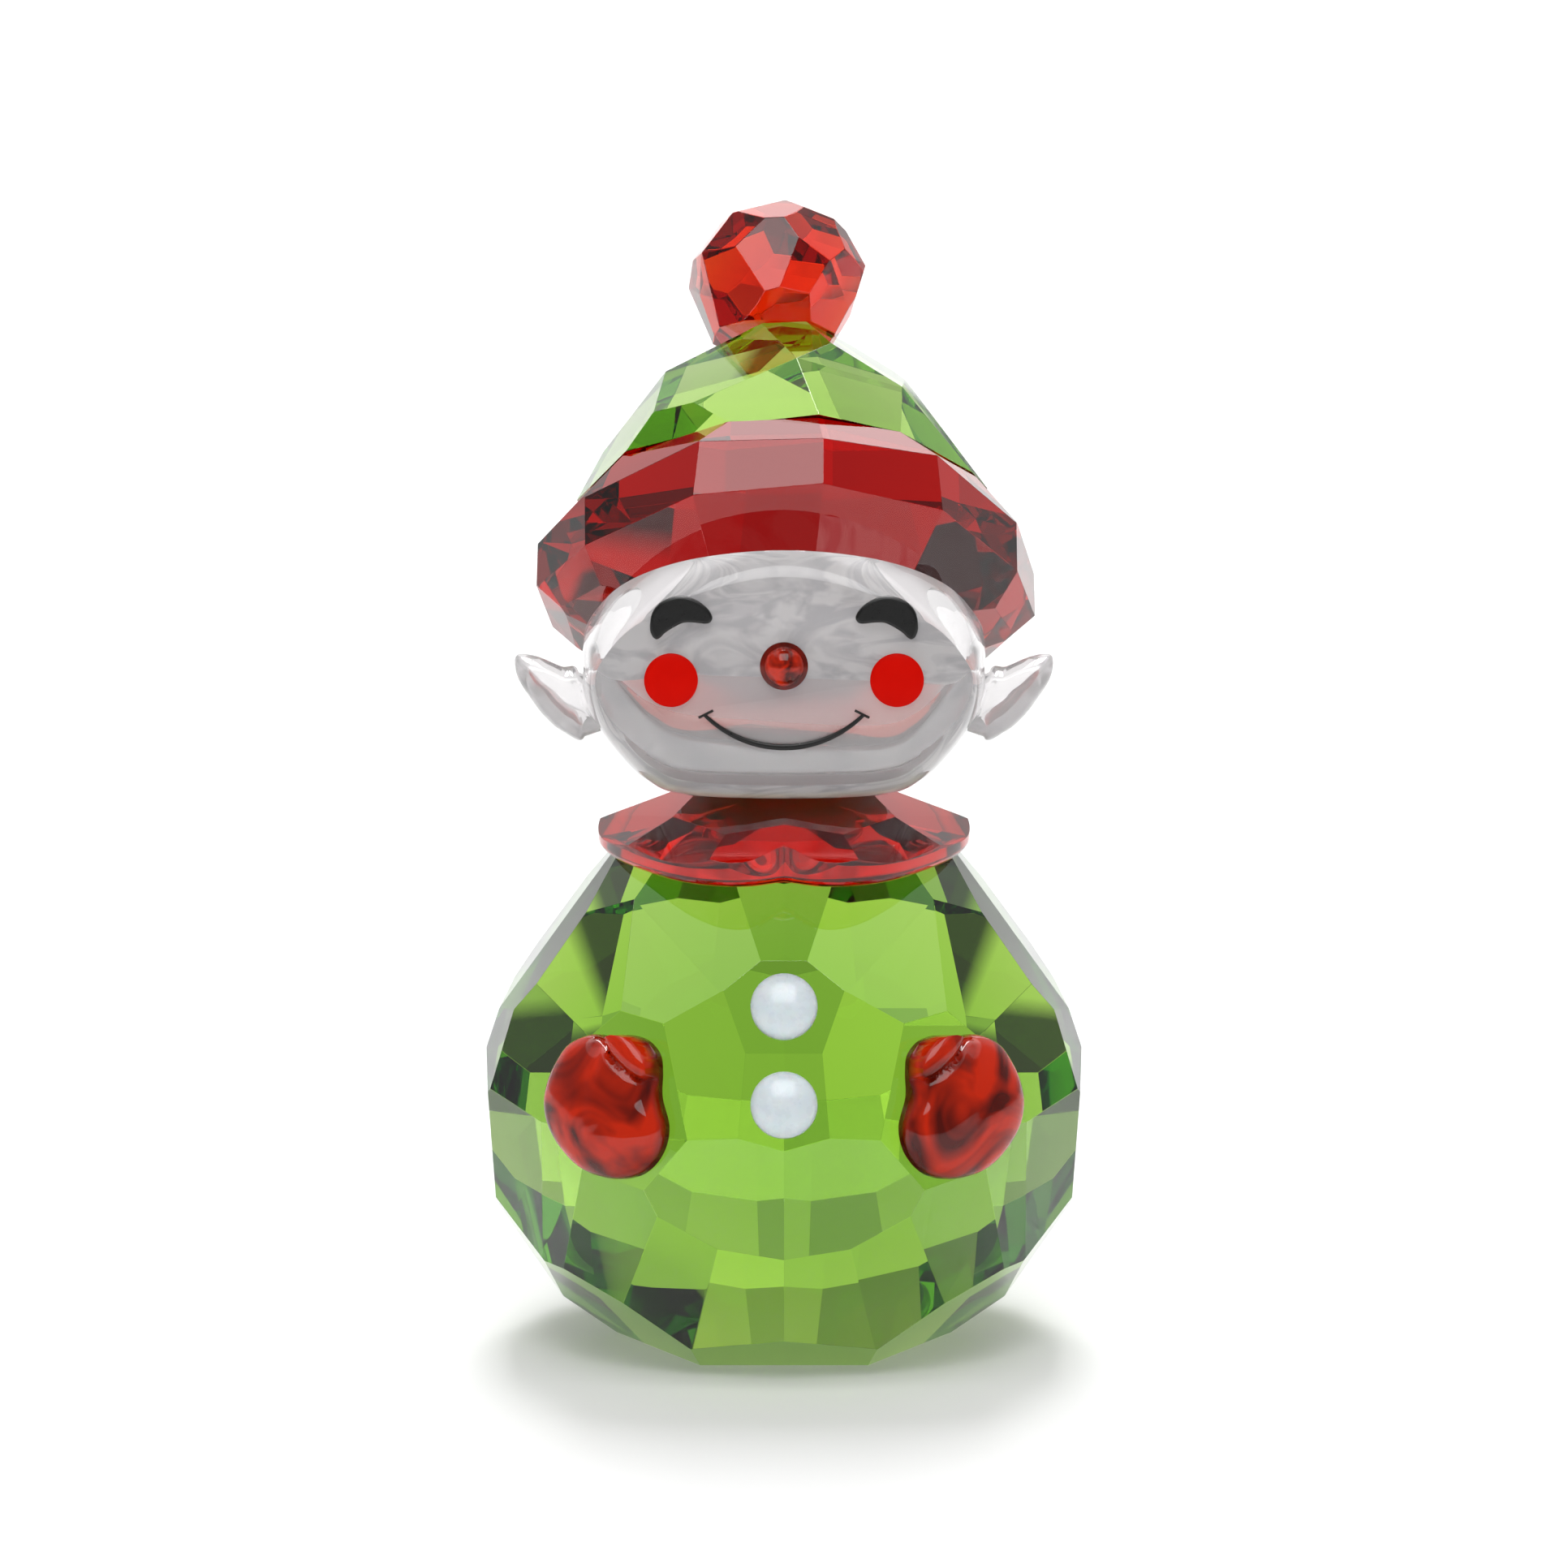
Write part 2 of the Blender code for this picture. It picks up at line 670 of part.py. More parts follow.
def make_buttons(collection):
    places = [
        ("button_upper", "upper_button_flat", UPPER_BUTTON_PLACE),
        ("button_lower", "lower_button_flat", LOWER_BUTTON_PLACE),
    ]
    for name, flat, place in places:
        frame = body_flat(flat) @ Matrix.Translation((0.0, place, GLUE_LINE))
        make_object(name, dome(BUTTON_RADIUS, BUTTON_RISE, frame), "white_enamel", collection, smooth=True)


def face_frame(across, height):
    """A frame on the face panel, one glue line in front of it."""
    point = Vector((across, face_plane_y(height), head_base() + height))
    return seat_frame(point, 0.0, FACE_TILT) @ Matrix.Translation((0.0, 0.0, GLUE_LINE))


def mouth_outline(steps=16):
    """A smile that tapers towards its ends, with a short tick across each end."""
    radius = (MOUTH_HALF_WIDTH ** 2 + MOUTH_DROP ** 2) / (2 * MOUTH_DROP)
    sweep = asin(MOUTH_HALF_WIDTH / radius)
    rise = radius * (1.0 - cos(sweep))
    outer = []
    inner = []
    for step in range(1, steps):
        angle = -sweep + 2 * sweep * step / steps
        half = MOUTH_LINE / 2 * (1.0 - MOUTH_TAPER + MOUTH_TAPER * cos(angle / sweep * pi / 2))
        for edge, reach in ((outer, radius + half), (inner, radius - half)):
            edge.append((reach * sin(angle), radius - rise - reach * cos(angle)))
    along = Vector((-cos(radians(TICK_RISE)), sin(radians(TICK_RISE))))
    across = Vector((sin(radians(TICK_RISE)), cos(radians(TICK_RISE)))) * TICK_LINE / 2
    end = Vector((MOUTH_HALF_WIDTH, 0.0))
    low = end - along * TICK_LENGTH * TICK_BELOW
    high = end + along * TICK_LENGTH * (1.0 - TICK_BELOW)
    right = [tuple(point) for point in (low - across, low + across, high + across, high - across)]
    left = [(-x, y) for x, y in right][::-1]
    return outer + right + inner[::-1] + left


def make_face(collection):
    nose = dome(NOSE_RADIUS, NOSE_RISE, face_frame(0.0, NOSE_HEIGHT))
    make_object("nose", nose, "red_glass", collection, smooth=True)
    for name, side in (("cheek_left", -1), ("cheek_right", 1)):
        cheek = dome(CHEEK_RADIUS, CHEEK_RISE, face_frame(side * CHEEK_SPREAD, CHEEK_HEIGHT), rings=3)
        make_object(name, cheek, "red_enamel", collection, smooth=True)
    eye = [(x * OUTLINE_UNIT, y * OUTLINE_UNIT) for x, y in smooth_curve(EYE_OUTLINE, 3)]
    left = outline_solid(eye, EYE_THICKNESS, face_frame(-EYE_SPREAD, EYE_HEIGHT))
    make_object("eye_left", left, "black_enamel", collection)
    right = mirrored(outline_solid(eye, EYE_THICKNESS, face_frame(-EYE_SPREAD, EYE_HEIGHT)))
    make_object("eye_right", right, "black_enamel", collection)
    mouth = outline_solid(mouth_outline(), MOUTH_THICKNESS, face_frame(0.0, MOUTH_HEIGHT))
    make_object("mouth", mouth, "black_enamel", collection)


def main():
    clear_scene()
    collection = new_collection("elf_figurine")
    make_body(collection)
    make_collar(collection)
    make_head(collection)
    make_brim(collection)
    make_cone(collection)
    make_pompom(collection)
    make_ears(collection)
    make_mittens(collection)
    make_buttons(collection)
    make_face(collection)


main()
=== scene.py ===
from math import cos, exp, pi, radians, sin, sqrt, tan

import bmesh
import bpy
from mathutils import Matrix, Vector


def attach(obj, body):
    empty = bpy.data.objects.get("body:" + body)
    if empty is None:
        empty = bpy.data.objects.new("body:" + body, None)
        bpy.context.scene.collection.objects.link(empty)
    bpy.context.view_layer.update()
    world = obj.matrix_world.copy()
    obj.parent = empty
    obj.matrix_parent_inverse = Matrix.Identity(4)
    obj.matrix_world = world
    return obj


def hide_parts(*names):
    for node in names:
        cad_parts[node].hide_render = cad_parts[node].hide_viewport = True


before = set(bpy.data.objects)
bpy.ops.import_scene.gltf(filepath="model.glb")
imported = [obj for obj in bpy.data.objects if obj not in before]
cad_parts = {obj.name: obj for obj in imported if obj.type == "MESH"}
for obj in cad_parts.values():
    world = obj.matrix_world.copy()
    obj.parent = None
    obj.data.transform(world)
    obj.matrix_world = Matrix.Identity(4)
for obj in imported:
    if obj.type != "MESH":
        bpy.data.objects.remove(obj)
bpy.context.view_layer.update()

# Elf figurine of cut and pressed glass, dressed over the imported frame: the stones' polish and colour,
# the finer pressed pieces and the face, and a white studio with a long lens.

MM = 0.001

# Camera and studio
PICTURE_WIDTH = 77.28 * MM
LENS = 800.0
SENSOR = 36.0
LOOK_DOWN = 13.0
AIM = Vector((0.0, 0.0, 27.82 * MM))
FLOOR_DROP = 0.02 * MM
FLOOR_SIZE = 4.0
FLOOR_GLOW = 0.2
DIFFUSE_SHARE = 0.35

# Soft lights by azimuth and elevation in degrees, distance, width and height in metres, and brightness
LIGHTS = {
    "key": (0.0, 56.0, 0.7, 0.5, 0.5, 3.4),
    "back_light": (180.0, 60.0, 0.7, 0.2, 0.4, 13.9),
}

# Studio surroundings, as brightness by degrees round from straight behind and by the upward part of a
# direction, first as they show through the glass and then as they show in its gloss
THROUGH_AROUND = [(0.0, 1.05), (51.0, 1.05), (53.0, 0.06), (66.0, 0.06), (69.0, 1.0), (180.0, 1.0)]
THROUGH_RISE = [(0.0, 0.95), (0.17, 0.95), (0.3, 0.8), (0.5, 0.7), (0.75, 0.6), (0.9, 0.4), (1.0, 0.4)]
GLOSS_AROUND = [
    (0.0, 0.8),
    (45.0, 0.8),
    (60.0, 0.45),
    (84.0, 0.35),
    (100.0, 0.35),
    (115.0, 0.25),
    (180.0, 0.22),
]
GLOSS_RISE = [(0.0, 0.9), (0.6, 0.9), (0.7, 1.0), (0.76, 3.6), (0.9, 3.6), (0.96, 0.4), (1.0, 0.3)]

# A bright screen up behind, as brightness by the sideways and upward parts of a direction
SCREEN_ASIDE = [(0.0, 1.6), (0.22, 1.6), (0.3, 0.0), (1.0, 0.0)]
SCREEN_RISE = [(0.0, 0.0), (0.28, 0.0), (0.34, 1.0), (0.6, 1.0), (0.66, 0.0), (1.0, 0.0)]

# The table as the glass sees it, painted as a glow with a painted shadow near the middle, as brightness by
# degrees round from straight behind or in front, times brightness by millimetres away from the middle, but
# nowhere less than TABLE_FAR, which whitens its border
TABLE_AROUND = [(0.0, 0.92), (19.0, 0.92), (21.5, 0.06), (44.0, 0.06), (47.0, 0.92), (90.0, 0.92)]
TABLE_AWAY_PAINTED_SHADOW = [(0.0, 0.1), (9.5, 0.16), (11.0, 1.0), (50.0, 1.0)]
TABLE_FAR = [(0.0, 0.0), (30.0, 0.0), (32.0, 0.92), (50.0, 0.92)]

# Cut stones: the width of their polished edges, how finely the painted shade of their facets differs, and
# how clean their polish is, as the noise's scale and the lowest and highest roughness
EDGE_POLISH = 0.05 * MM
PAINTED_FACET_SHADE_SCALE = 3.2
CLEAN_POLISH = (700.0, 0.0, 0.006)

# Depth of colour of the glass, as absorption to a metre
GREEN_DEPTH = 115.0
RED_DEPTH = 560.0
POMPOM_DEPTH = 900.0
PRESSED_DEPTH = 500.0

# A flat has more corners than this, and one that lies square to a direction has a cosine above this
FLAT_SIDES = 12
SAME_WAY = 0.995

# Collar, with facets by azimuth, tilt and depth in millimetres
COLLAR_BASE = 24.8 * MM
COLLAR_HEIGHT = 3.38 * MM
COLLAR_RADIUS = 9.16 * MM
COLLAR_LOBE = 1.04 * MM
COLLAR_LOBE_AZIMUTH = 22.0
COLLAR_NOTCH = 0.8 * MM
COLLAR_NOTCH_AZIMUTH = 8.0
COLLAR_ROUNDING = 0.45 * MM
COLLAR_STEPS = 288
COLLAR_RIM_STEPS = 5
COLLAR_SHARP = 12.0
COLLAR_WELD = 0.004 * MM
COLLAR_FACETS = [
    (0.0, 57.5, 6.32),
    (51.8, 58.3, 5.82),
    (80.0, 60.3, 5.17),
    (46.0, 81.9, 3.41),
    (90.0, 69.0, 4.23),
    (130.0, 63.7, 4.33),
    (180.0, 62.0, 5.2),
]

# Head, with heights above its flat base and its outline in millimetres
HEAD_BASE = 28.24 * MM
HEAD_WIDTH = 19.8 * MM
HEAD_HEIGHT = 14.2 * MM
HEAD_DEPTH = 14.0 * MM
HEAD_FRONT = 7.9 * MM
FACE_TILT = 6.0
FACE_PANEL_WIDTH = 18.5 * MM
FACE_PANEL_TOP = 11.6 * MM
FACE_PANEL_BOTTOM = 2.3 * MM
HEAD_ROUNDING = 6.0 * MM
PANEL_CREASE = 10.0
SEAT_LEAN = 36.0
SEAT_POINT = Vector((0.1, 4.0, 33.59)) * MM
HEAD_EDGE = 0.1 * MM
HAIR = 0.01 * MM
HEAD_HALF_OUTLINE = [
    (0.0, 13.95),
    (4.3, 12.85),
    (7.85, 10.45),
    (9.6, 7.8),
    (9.95, 5.9),
    (9.4, 3.8),
    (8.35, 2.2),
    (6.9, 0.75),
    (4.9, -0.05),
    (0.0, -0.25),
]

# Ears, with the outline out from the head's side and up from its base, in millimetres
EAR_THICKNESS = 3.6 * MM
EAR_SETBACK = 6.9 * MM
EAR_ROOT = (2.7 * MM, 5.35 * MM)
EAR_DISH = 0.55 * MM
EAR_DISH_START = 0.55
EAR_HEART = 0.6 * MM
EAR_SWEEP = 85.5
EAR_OUTLINE = [
    (0.2, 5.45),
    (1.1, 5.75),
    (2.3, 6.25),
    (3.2, 6.35),
    (3.35, 5.85),
    (3.15, 5.1),
    (2.6, 4.25),
    (1.9, 3.35),
    (1.0, 2.6),
    (-0.1, 2.35),
]

# The gap between glued pieces, and the point that the body's flats are measured from
GLUE_LINE = 0.06 * MM
BODY_HEART = Vector((0.0, 0.0, 13.2)) * MM

# Mittens, drawn in millimetres on their flat, which lies by azimuth, tilt and depth on the body
MITTEN_FLAT = (32.4, 13.1, 14.07)
MITTEN_THICKNESS = 2.0 * MM
MITTEN_WALL = 0.32
MITTEN_WALL_STEPS = 4
MITTEN_CROWN = 0.98
MITTEN_DOME_POWER = 2.2
THUMB_CENTRE = (0.4 * MM, 0.62 * MM)
THUMB_TURN = -37.0
THUMB_LENGTH = 1.7 * MM
THUMB_WIDTH = 0.68 * MM
THUMB_HEIGHT = 1.45 * MM
THUMB_RISE = 0.5 * MM
THUMB_GROOVE = 0.22 * MM
THUMB_GROOVE_REACH = 1.1
THUMB_GROOVE_WIDTH = 0.22
MITTEN_OUTLINE = [
    (-3.35, 0.65),
    (-2.2, 1.2),
    (-1.1, 1.15),
    (-0.3, 1.4),
    (0.75, 1.25),
    (1.5, 0.65),
    (1.75, -0.2),
    (1.9, -1.4),
    (2.5, -2.8),
    (2.35, -4.1),
    (1.55, -5.15),
    (0.3, -5.65),
    (-1.05, -5.65),
    (-2.2, -5.3),
    (-3.3, -4.5),
    (-4.1, -3.5),
    (-4.45, -2.4),
    (-4.35, -1.25),
    (-3.95, -0.2),
]

# Buttons, each by its flat's azimuth, tilt and depth and by its place up along the flat
BUTTON = {"Radius": 1.65 * MM, "Rise": 0.75 * MM, "Rim": 0.2 * MM, "Waist": 1.0}
BUTTONS = {
    "button_upper": (0.0, 23.7, 13.57, 0.79),
    "button_lower": (0.0, 19.9, 13.64, -3.17),
}

# Face, with heights above the head's base and the eye's outline in millimetres
NOSE = {"Radius": 1.18 * MM, "Rise": 0.8 * MM, "Rim": 0.2 * MM, "Waist": 0.84}
NOSE_HEIGHT = 7.35 * MM
CHEEK = {"Radius": 1.32 * MM, "Rise": 0.2 * MM, "Rim": 0.15 * MM, "Waist": 1.0}
CHEEK_HEIGHT = 6.65 * MM
CHEEK_SPREAD = 5.54 * MM
EYE_THICKNESS = 0.5 * MM
EYE_ROUNDING = 0.16 * MM
EYE_HEIGHT = 9.75 * MM
EYE_SPREAD = 5.0 * MM
EYE_OUTLINE = [
    (-1.57, -0.5),
    (-1.47, 0.2),
    (-1.1, 0.7),
    (-0.55, 0.98),
    (0.05, 1.05),
    (0.65, 0.88),
    (1.2, 0.5),
    (1.47, 0.1),
    (1.45, -0.15),
    (1.2, -0.3),
    (0.45, -0.24),
    (-0.05, -0.3),
    (-0.75, -0.7),
    (-1.05, -0.98),
    (-1.25, -1.07),
    (-1.45, -0.92),
]
SMILE_HEIGHT = 4.95 * MM
SMILE = {
    "Half Width": 3.9 * MM,
    "Drop": 1.6 * MM,
    "Line": 0.31 * MM,
    "Thickness": 0.2 * MM,
    "Taper": 0.4,
    "Tick Length": 0.8 * MM,
    "Tick Line": 0.13 * MM,
    "Tick Rise": radians(27.0),
}
TICK_ENDS = (-0.4, 0.6)


# Node building

def put(tree, kind, inputs=None, **settings):
    """Add a node, with its settings and with values or links for its inputs."""
    node = tree.nodes.new(kind)
    for name, value in settings.items():
        setattr(node, name, value)
    for name, value in (inputs or {}).items():
        socket = node.inputs[name]
        if isinstance(value, bpy.types.NodeSocket):
            tree.links.new(value, socket)
        else:
            socket.default_value = value
    return node


def figure(tree, operation, first, second=0.0):
    return put(tree, "ShaderNodeMath", {0: first, 1: second}, operation=operation).outputs[0]


def vector(tree, x=0.0, y=0.0, z=0.0):
    return put(tree, "ShaderNodeCombineXYZ", {"X": x, "Y": y, "Z": z}).outputs[0]


def dot(tree, first, second):
    """How far one vector reaches along another."""
    inputs = {0: first, 1: second}
    return put(tree, "ShaderNodeVectorMath", inputs, operation="DOT_PRODUCT").outputs["Value"]


def scaled(tree, value, low, high, floor, ceiling):
    """Map a value's range onto another range."""
    inputs = {"Value": value, "From Min": low, "From Max": high, "To Min": floor, "To Max": ceiling}
    return put(tree, "ShaderNodeMapRange", inputs).outputs["Result"]


def stepped(tree, value, stops):
    """A brightness that follows a list of (value, brightness) stops, straight from one to the next."""
    low = stops[0][0]
    high = stops[-1][0]
    node = put(tree, "ShaderNodeValToRGB", {"Fac": scaled(tree, value, low, high, 0.0, 1.0)})
    elements = node.color_ramp.elements
    while len(elements) < len(stops):
        elements.new(1.0)
    for element, (place, level) in zip(elements, stops):
        element.position = (place - low) / (high - low)
        element.color = (level, level, level, 1.0)
    return node.outputs["Color"]


def blended(tree, factor, first, second):
    """A colour between two, by a factor from 0 to 1."""
    node = put(tree, "ShaderNodeMix", data_type="RGBA")
    tree.links.new(factor, node.inputs[0])
    node.inputs[6].default_value = (*first, 1.0)
    node.inputs[7].default_value = (*second, 1.0)
    return node.outputs[2]


# Finishes

def new_finish(name, sockets):
    """A Principled material whose constant numbers sit on the shader's own sockets."""
    material = bpy.data.materials.new(name)
    material.use_nodes = True
    tree = material.node_tree
    shader = tree.nodes["Principled BSDF"]
    for socket, value in sockets.items():
        shader.inputs[socket].default_value = value
    return material, tree, shader


def clouds(tree, scale, detail=2.0, distortion=0.0):
    """Noise on the piece's own coordinates, with its scale in features to a metre."""
    coordinates = put(tree, "ShaderNodeTexCoord").outputs["Object"]
    inputs = {"Vector": coordinates, "Scale": scale, "Detail": detail, "Distortion": distortion}
    return put(tree, "ShaderNodeTexNoise", inputs).outputs["Fac"]


def tinted(tree, shader, factor, first, second):
    tree.links.new(blended(tree, factor, first, second), shader.inputs["Base Color"])


def worn(tree, shader, scale, low, high):
    """Roughness that changes a little from place to place, as hand polish does."""
    tree.links.new(scaled(tree, clouds(tree, scale, 3.0), 0.3, 0.7, low, high), shader.inputs["Roughness"])


def wavy(tree, shader, scale, depth, detail=1.0, distortion=0.0):
    """Soft waves in the surface, with their depth in metres."""
    waves = clouds(tree, scale, detail, distortion)
    bump = put(tree, "ShaderNodeBump", {"Height": waves, "Distance": depth, "Strength": 1.0})
    tree.links.new(bump.outputs["Normal"], shader.inputs["Normal"])


def stained(tree, absorbed, density):
    """The depth of colour of solid glass: what its volume takes out of the light."""
    volume = put(tree, "ShaderNodeVolumeAbsorption", {"Color": (*absorbed, 1.0), "Density": density})
    tree.links.new(volume.outputs["Volume"], tree.nodes["Material Output"].inputs["Volume"])


def silvered(tree, shader, down):
    """A mirror coat on the flat that lies square to a direction."""
    facing = put(tree, "ShaderNodeTexCoord").outputs["Normal"]
    along = figure(tree, "ABSOLUTE", dot(tree, facing, down))
    coat = figure(tree, "GREATER_THAN", along, SAME_WAY)
    tree.links.new(coat, shader.inputs["Metallic"])


def cut_glass(name, painted_facet_tones, absorbed, density):
    """Polished glass whose flat facets each take a painted shade of their own, by the way each faces."""
    material, tree, shader = new_finish(name, {"Transmission Weight": 1.0, "IOR": 1.54})
    facing = put(tree, "ShaderNodeTexCoord").outputs["Normal"]
    # Painted shade: each facet's colour changes with the way it faces, in place of the light it catches
    inputs = {"Vector": facing, "Scale": PAINTED_FACET_SHADE_SCALE, "Detail": 0.0}
    painted_facet_shades = put(tree, "ShaderNodeTexNoise", inputs).outputs["Fac"]
    tinted(tree, shader, scaled(tree, painted_facet_shades, 0.43, 0.57, 0.0, 1.0), *painted_facet_tones)
    worn(tree, shader, *CLEAN_POLISH)
    stained(tree, absorbed, density)
    return material


def green_glass(name, darkest_painted_facet=(0.40, 0.47, 0.38)):
    # Painted shade on the facets, from this darkest tone up to a pale one
    painted_facet_tones = (darkest_painted_facet, (1.0, 1.0, 0.90))
    return cut_glass(name, painted_facet_tones, (0.65, 0.86, 0.09), GREEN_DEPTH)


def red_glass(name, density=RED_DEPTH):
    # Painted shade on the facets, from a darker tone up to a pale one, which also warms the red
    painted_facet_tones = ((0.62, 0.50, 0.40), (1.0, 0.92, 0.78))
    return cut_glass(name, painted_facet_tones, (0.95, 0.47, 0.05), density)


def pressed_red(name, scale, waves, point, out, deep):
    """Red pressed glass, cloudy enough to hide what lies behind it, darker in swirls, and darker
    down at its flat as a painted shade.

    The flat is given by a point on it and its direction out, and the piece by how deep it is.
    """
    sockets = {"Transmission Weight": 0.36, "IOR": 1.54, "Specular IOR Level": 0.25}
    material, tree, shader = new_finish(name, sockets)
    swirls = scaled(tree, clouds(tree, scale, 2.0, 1.6), 0.34, 0.6, 0.0, 1.0)
    coordinates = put(tree, "ShaderNodeTexCoord").outputs["Object"]
    above = put(tree, "ShaderNodeVectorMath", {0: coordinates, 1: point}, operation="SUBTRACT").outputs[0]
    # Painted shade: the colour darkens down towards the flat that the piece sits on
    rise = scaled(tree, dot(tree, above, out), 0.2 * deep, 0.7 * deep, 0.0, 1.0)
    light = figure(tree, "MULTIPLY", swirls, rise)
    tinted(tree, shader, light, (0.13, 0.005, 0.001), (0.98, 0.034, 0.003))
    worn(tree, shader, 700.0, 0.0, 0.04)
    wavy(tree, shader, *waves)
    stained(tree, (0.965, 0.36, 0.0), PRESSED_DEPTH)
    return material


def clear_glass(name, waves):
    """Colourless pressed glass with the faint waves that a mould leaves."""
    material, tree, shader = new_finish(name, {"Transmission Weight": 0.75, "IOR": 1.52})
    tinted(tree, shader, clouds(tree, 90.0), (0.97, 0.95, 0.96), (1.0, 0.985, 0.99))
    worn(tree, shader, *CLEAN_POLISH)
    wavy(tree, shader, *waves)
    return material


def pearl_glass(name):
    """The frosted back of the clear head, which softens what lies behind the face."""
    sockets = {"Transmission Weight": 0.6, "IOR": 1.52, "Roughness": 0.3}
    material, tree, shader = new_finish(name, sockets)
    tinted(tree, shader, clouds(tree, 260.0, 3.0, 0.8), (0.86, 0.80, 0.82), (0.98, 0.95, 0.96))
    return material


def seat_coat(name):
    """The coat between head and hat: white towards the head and a mirror towards the hat."""
    material, tree, shader = new_finish(name, {"Specular IOR Level": 0.3})
    inside = put(tree, "ShaderNodeNewGeometry").outputs["Backfacing"]
    # Painted reflection: streaks of lighter and darker in the coat's colour
    painted_reflection_streaks = scaled(tree, clouds(tree, 260.0, 3.0, 2.2), 0.38, 0.56, 0.0, 1.0)
    tinted(tree, shader, painted_reflection_streaks, (0.62, 0.62, 0.65), (1.0, 1.0, 1.0))
    tree.links.new(scaled(tree, inside, 0.0, 1.0, 1.0, 0.0), shader.inputs["Metallic"])
    tree.links.new(scaled(tree, inside, 0.0, 1.0, 0.02, 0.5), shader.inputs["Roughness"])
    return material


def white_backing(name):
    """The pale lacquer under the head's flat base, which throws light back up through the clear glass."""
    material, tree, shader = new_finish(name, {"Specular IOR Level": 0.3})
    tinted(tree, shader, clouds(tree, 420.0, 3.0, 0.7), (0.80, 0.79, 0.80), (0.97, 0.96, 0.97))
    worn(tree, shader, 1500.0, 0.4, 0.6)
    return material


def opal(name):
    """The buttons' milky white."""
    sockets = {
        "Subsurface Weight": 0.25,
        "Subsurface Scale": 0.4 * MM,
        "Coat Weight": 0.6,
        "Coat Roughness": 0.08,
        "IOR": 1.5,
    }
    material, tree, shader = new_finish(name, sockets)
    tinted(tree, shader, clouds(tree, 1400.0, 4.0, 0.6), (0.76, 0.87, 0.95), (0.88, 0.96, 1.0))
    worn(tree, shader, 2600.0, 0.22, 0.34)
    wavy(tree, shader, 1800.0, 0.008 * MM, 3.0)
    return material


def satin_red(name):
    """The cheeks' opaque red."""
    material, tree, shader = new_finish(name, {"IOR": 1.45, "Specular IOR Level": 0.06})
    tinted(tree, shader, clouds(tree, 900.0, 3.0), (0.70, 0.003, 0.0), (0.78, 0.005, 0.001))
    worn(tree, shader, 5200.0, 0.42, 0.56)
    wavy(tree, shader, 9000.0, 0.003 * MM, 2.0)
    return material


def black_enamel(name):
    """The black of the eyes and the smile."""
    material, tree, shader = new_finish(name, {"Specular IOR Level": 0.4, "IOR": 1.5})
    tinted(tree, shader, clouds(tree, 1500.0, 3.0), (0.003, 0.003, 0.003), (0.008, 0.008, 0.008))
    worn(tree, shader, 4200.0, 0.26, 0.4)
    wavy(tree, shader, 6000.0, 0.004 * MM, 2.0)
    return material


# Shapes

def facet_normal(azimuth, tilt):
    """Azimuth 0 faces the front and grows towards the viewer's left; tilt is above the horizon."""
    a = radians(azimuth)
    t = radians(tilt)
    return Vector((-sin(a) * cos(t), -cos(a) * cos(t), sin(t)))


def seat_frame(point, azimuth, tilt):
    """A flat's own frame: X to the viewer's right along it, Y up along it, Z out of it."""
    a = radians(azimuth)
    out = facet_normal(azimuth, tilt)
    side = Vector((cos(a), -sin(a), 0.0))
    seat = Matrix((side, out.cross(side), out)).transposed().to_4x4()
    seat.translation = point
    return seat


def body_seat(azimuth, tilt, depth, up=0.0):
    """The seat on one of the body's flats, a glue line out, with depth and up in millimetres."""
    point = BODY_HEART + facet_normal(azimuth, tilt) * depth * MM
    return seat_frame(point, azimuth, tilt) @ Matrix.Translation((0.0, up * MM, GLUE_LINE))


def face_plane_y(height):
    """How far forward the face panel lies at a height."""
    middle = (FACE_PANEL_TOP + FACE_PANEL_BOTTOM) / 2
    return -HEAD_FRONT + (height - middle) * tan(radians(FACE_TILT))


def face_seat(across, height):
    point = Vector((across, face_plane_y(height), HEAD_BASE + height))
    return seat_frame(point, 0.0, FACE_TILT) @ Matrix.Translation((0.0, 0.0, GLUE_LINE))


def smooth_curve(points, steps):
    """A closed Catmull-Rom curve through the points, with some steps from each to the next."""
    count = len(points)
    curve = []
    for i in range(count):
        before, start, end, after = (Vector(points[(i + k - 1) % count]) for k in range(4))
        bend = 2 * before - 5 * start + 4 * end - after
        twist = 3 * start - before - 3 * end + after
        for step in range(steps):
            t = step / steps
            point = start + ((end - before) * t + bend * t ** 2 + twist * t ** 3) / 2
            curve.append(tuple(point))
    return curve


def loft(sections):
    """Skin a closed body over rings of equally many points."""
    bm = bmesh.new()
    rings = [[bm.verts.new(point) for point in section] for section in sections]
    for lower, upper in zip(rings, rings[1:]):
        for i in range(len(lower)):
            j = (i + 1) % len(lower)
            bm.faces.new((lower[i], lower[j], upper[j], upper[i]))
    bm.faces.new(rings[0][::-1])
    bm.faces.new(rings[-1])
    return bm


def cut_away(bm, point, normal):
    """Grind away what lies outside a plane and close the cut with one flat face."""
    geometry = bm.verts[:] + bm.edges[:] + bm.faces[:]
    result = bmesh.ops.bisect_plane(
        bm, geom=geometry, dist=1e-8, plane_co=point, plane_no=normal, clear_outer=True
    )
    rim = [item for item in result["geom_cut"] if isinstance(item, bmesh.types.BMEdge)]
    rim = [edge for edge in rim if edge.is_boundary]
    if rim:
        bmesh.ops.edgeloop_fill(bm, edges=rim)


def both_sides(sections):
    """The viewer's left piece, skinned over its rings, and then its mirror image."""
    for side in ("left", "right"):
        bm = loft(sections)
        if side == "right":
            bmesh.ops.scale(bm, vec=(-1.0, 1.0, 1.0), verts=bm.verts)
            bmesh.ops.reverse_faces(bm, faces=bm.faces)
        yield side, bm


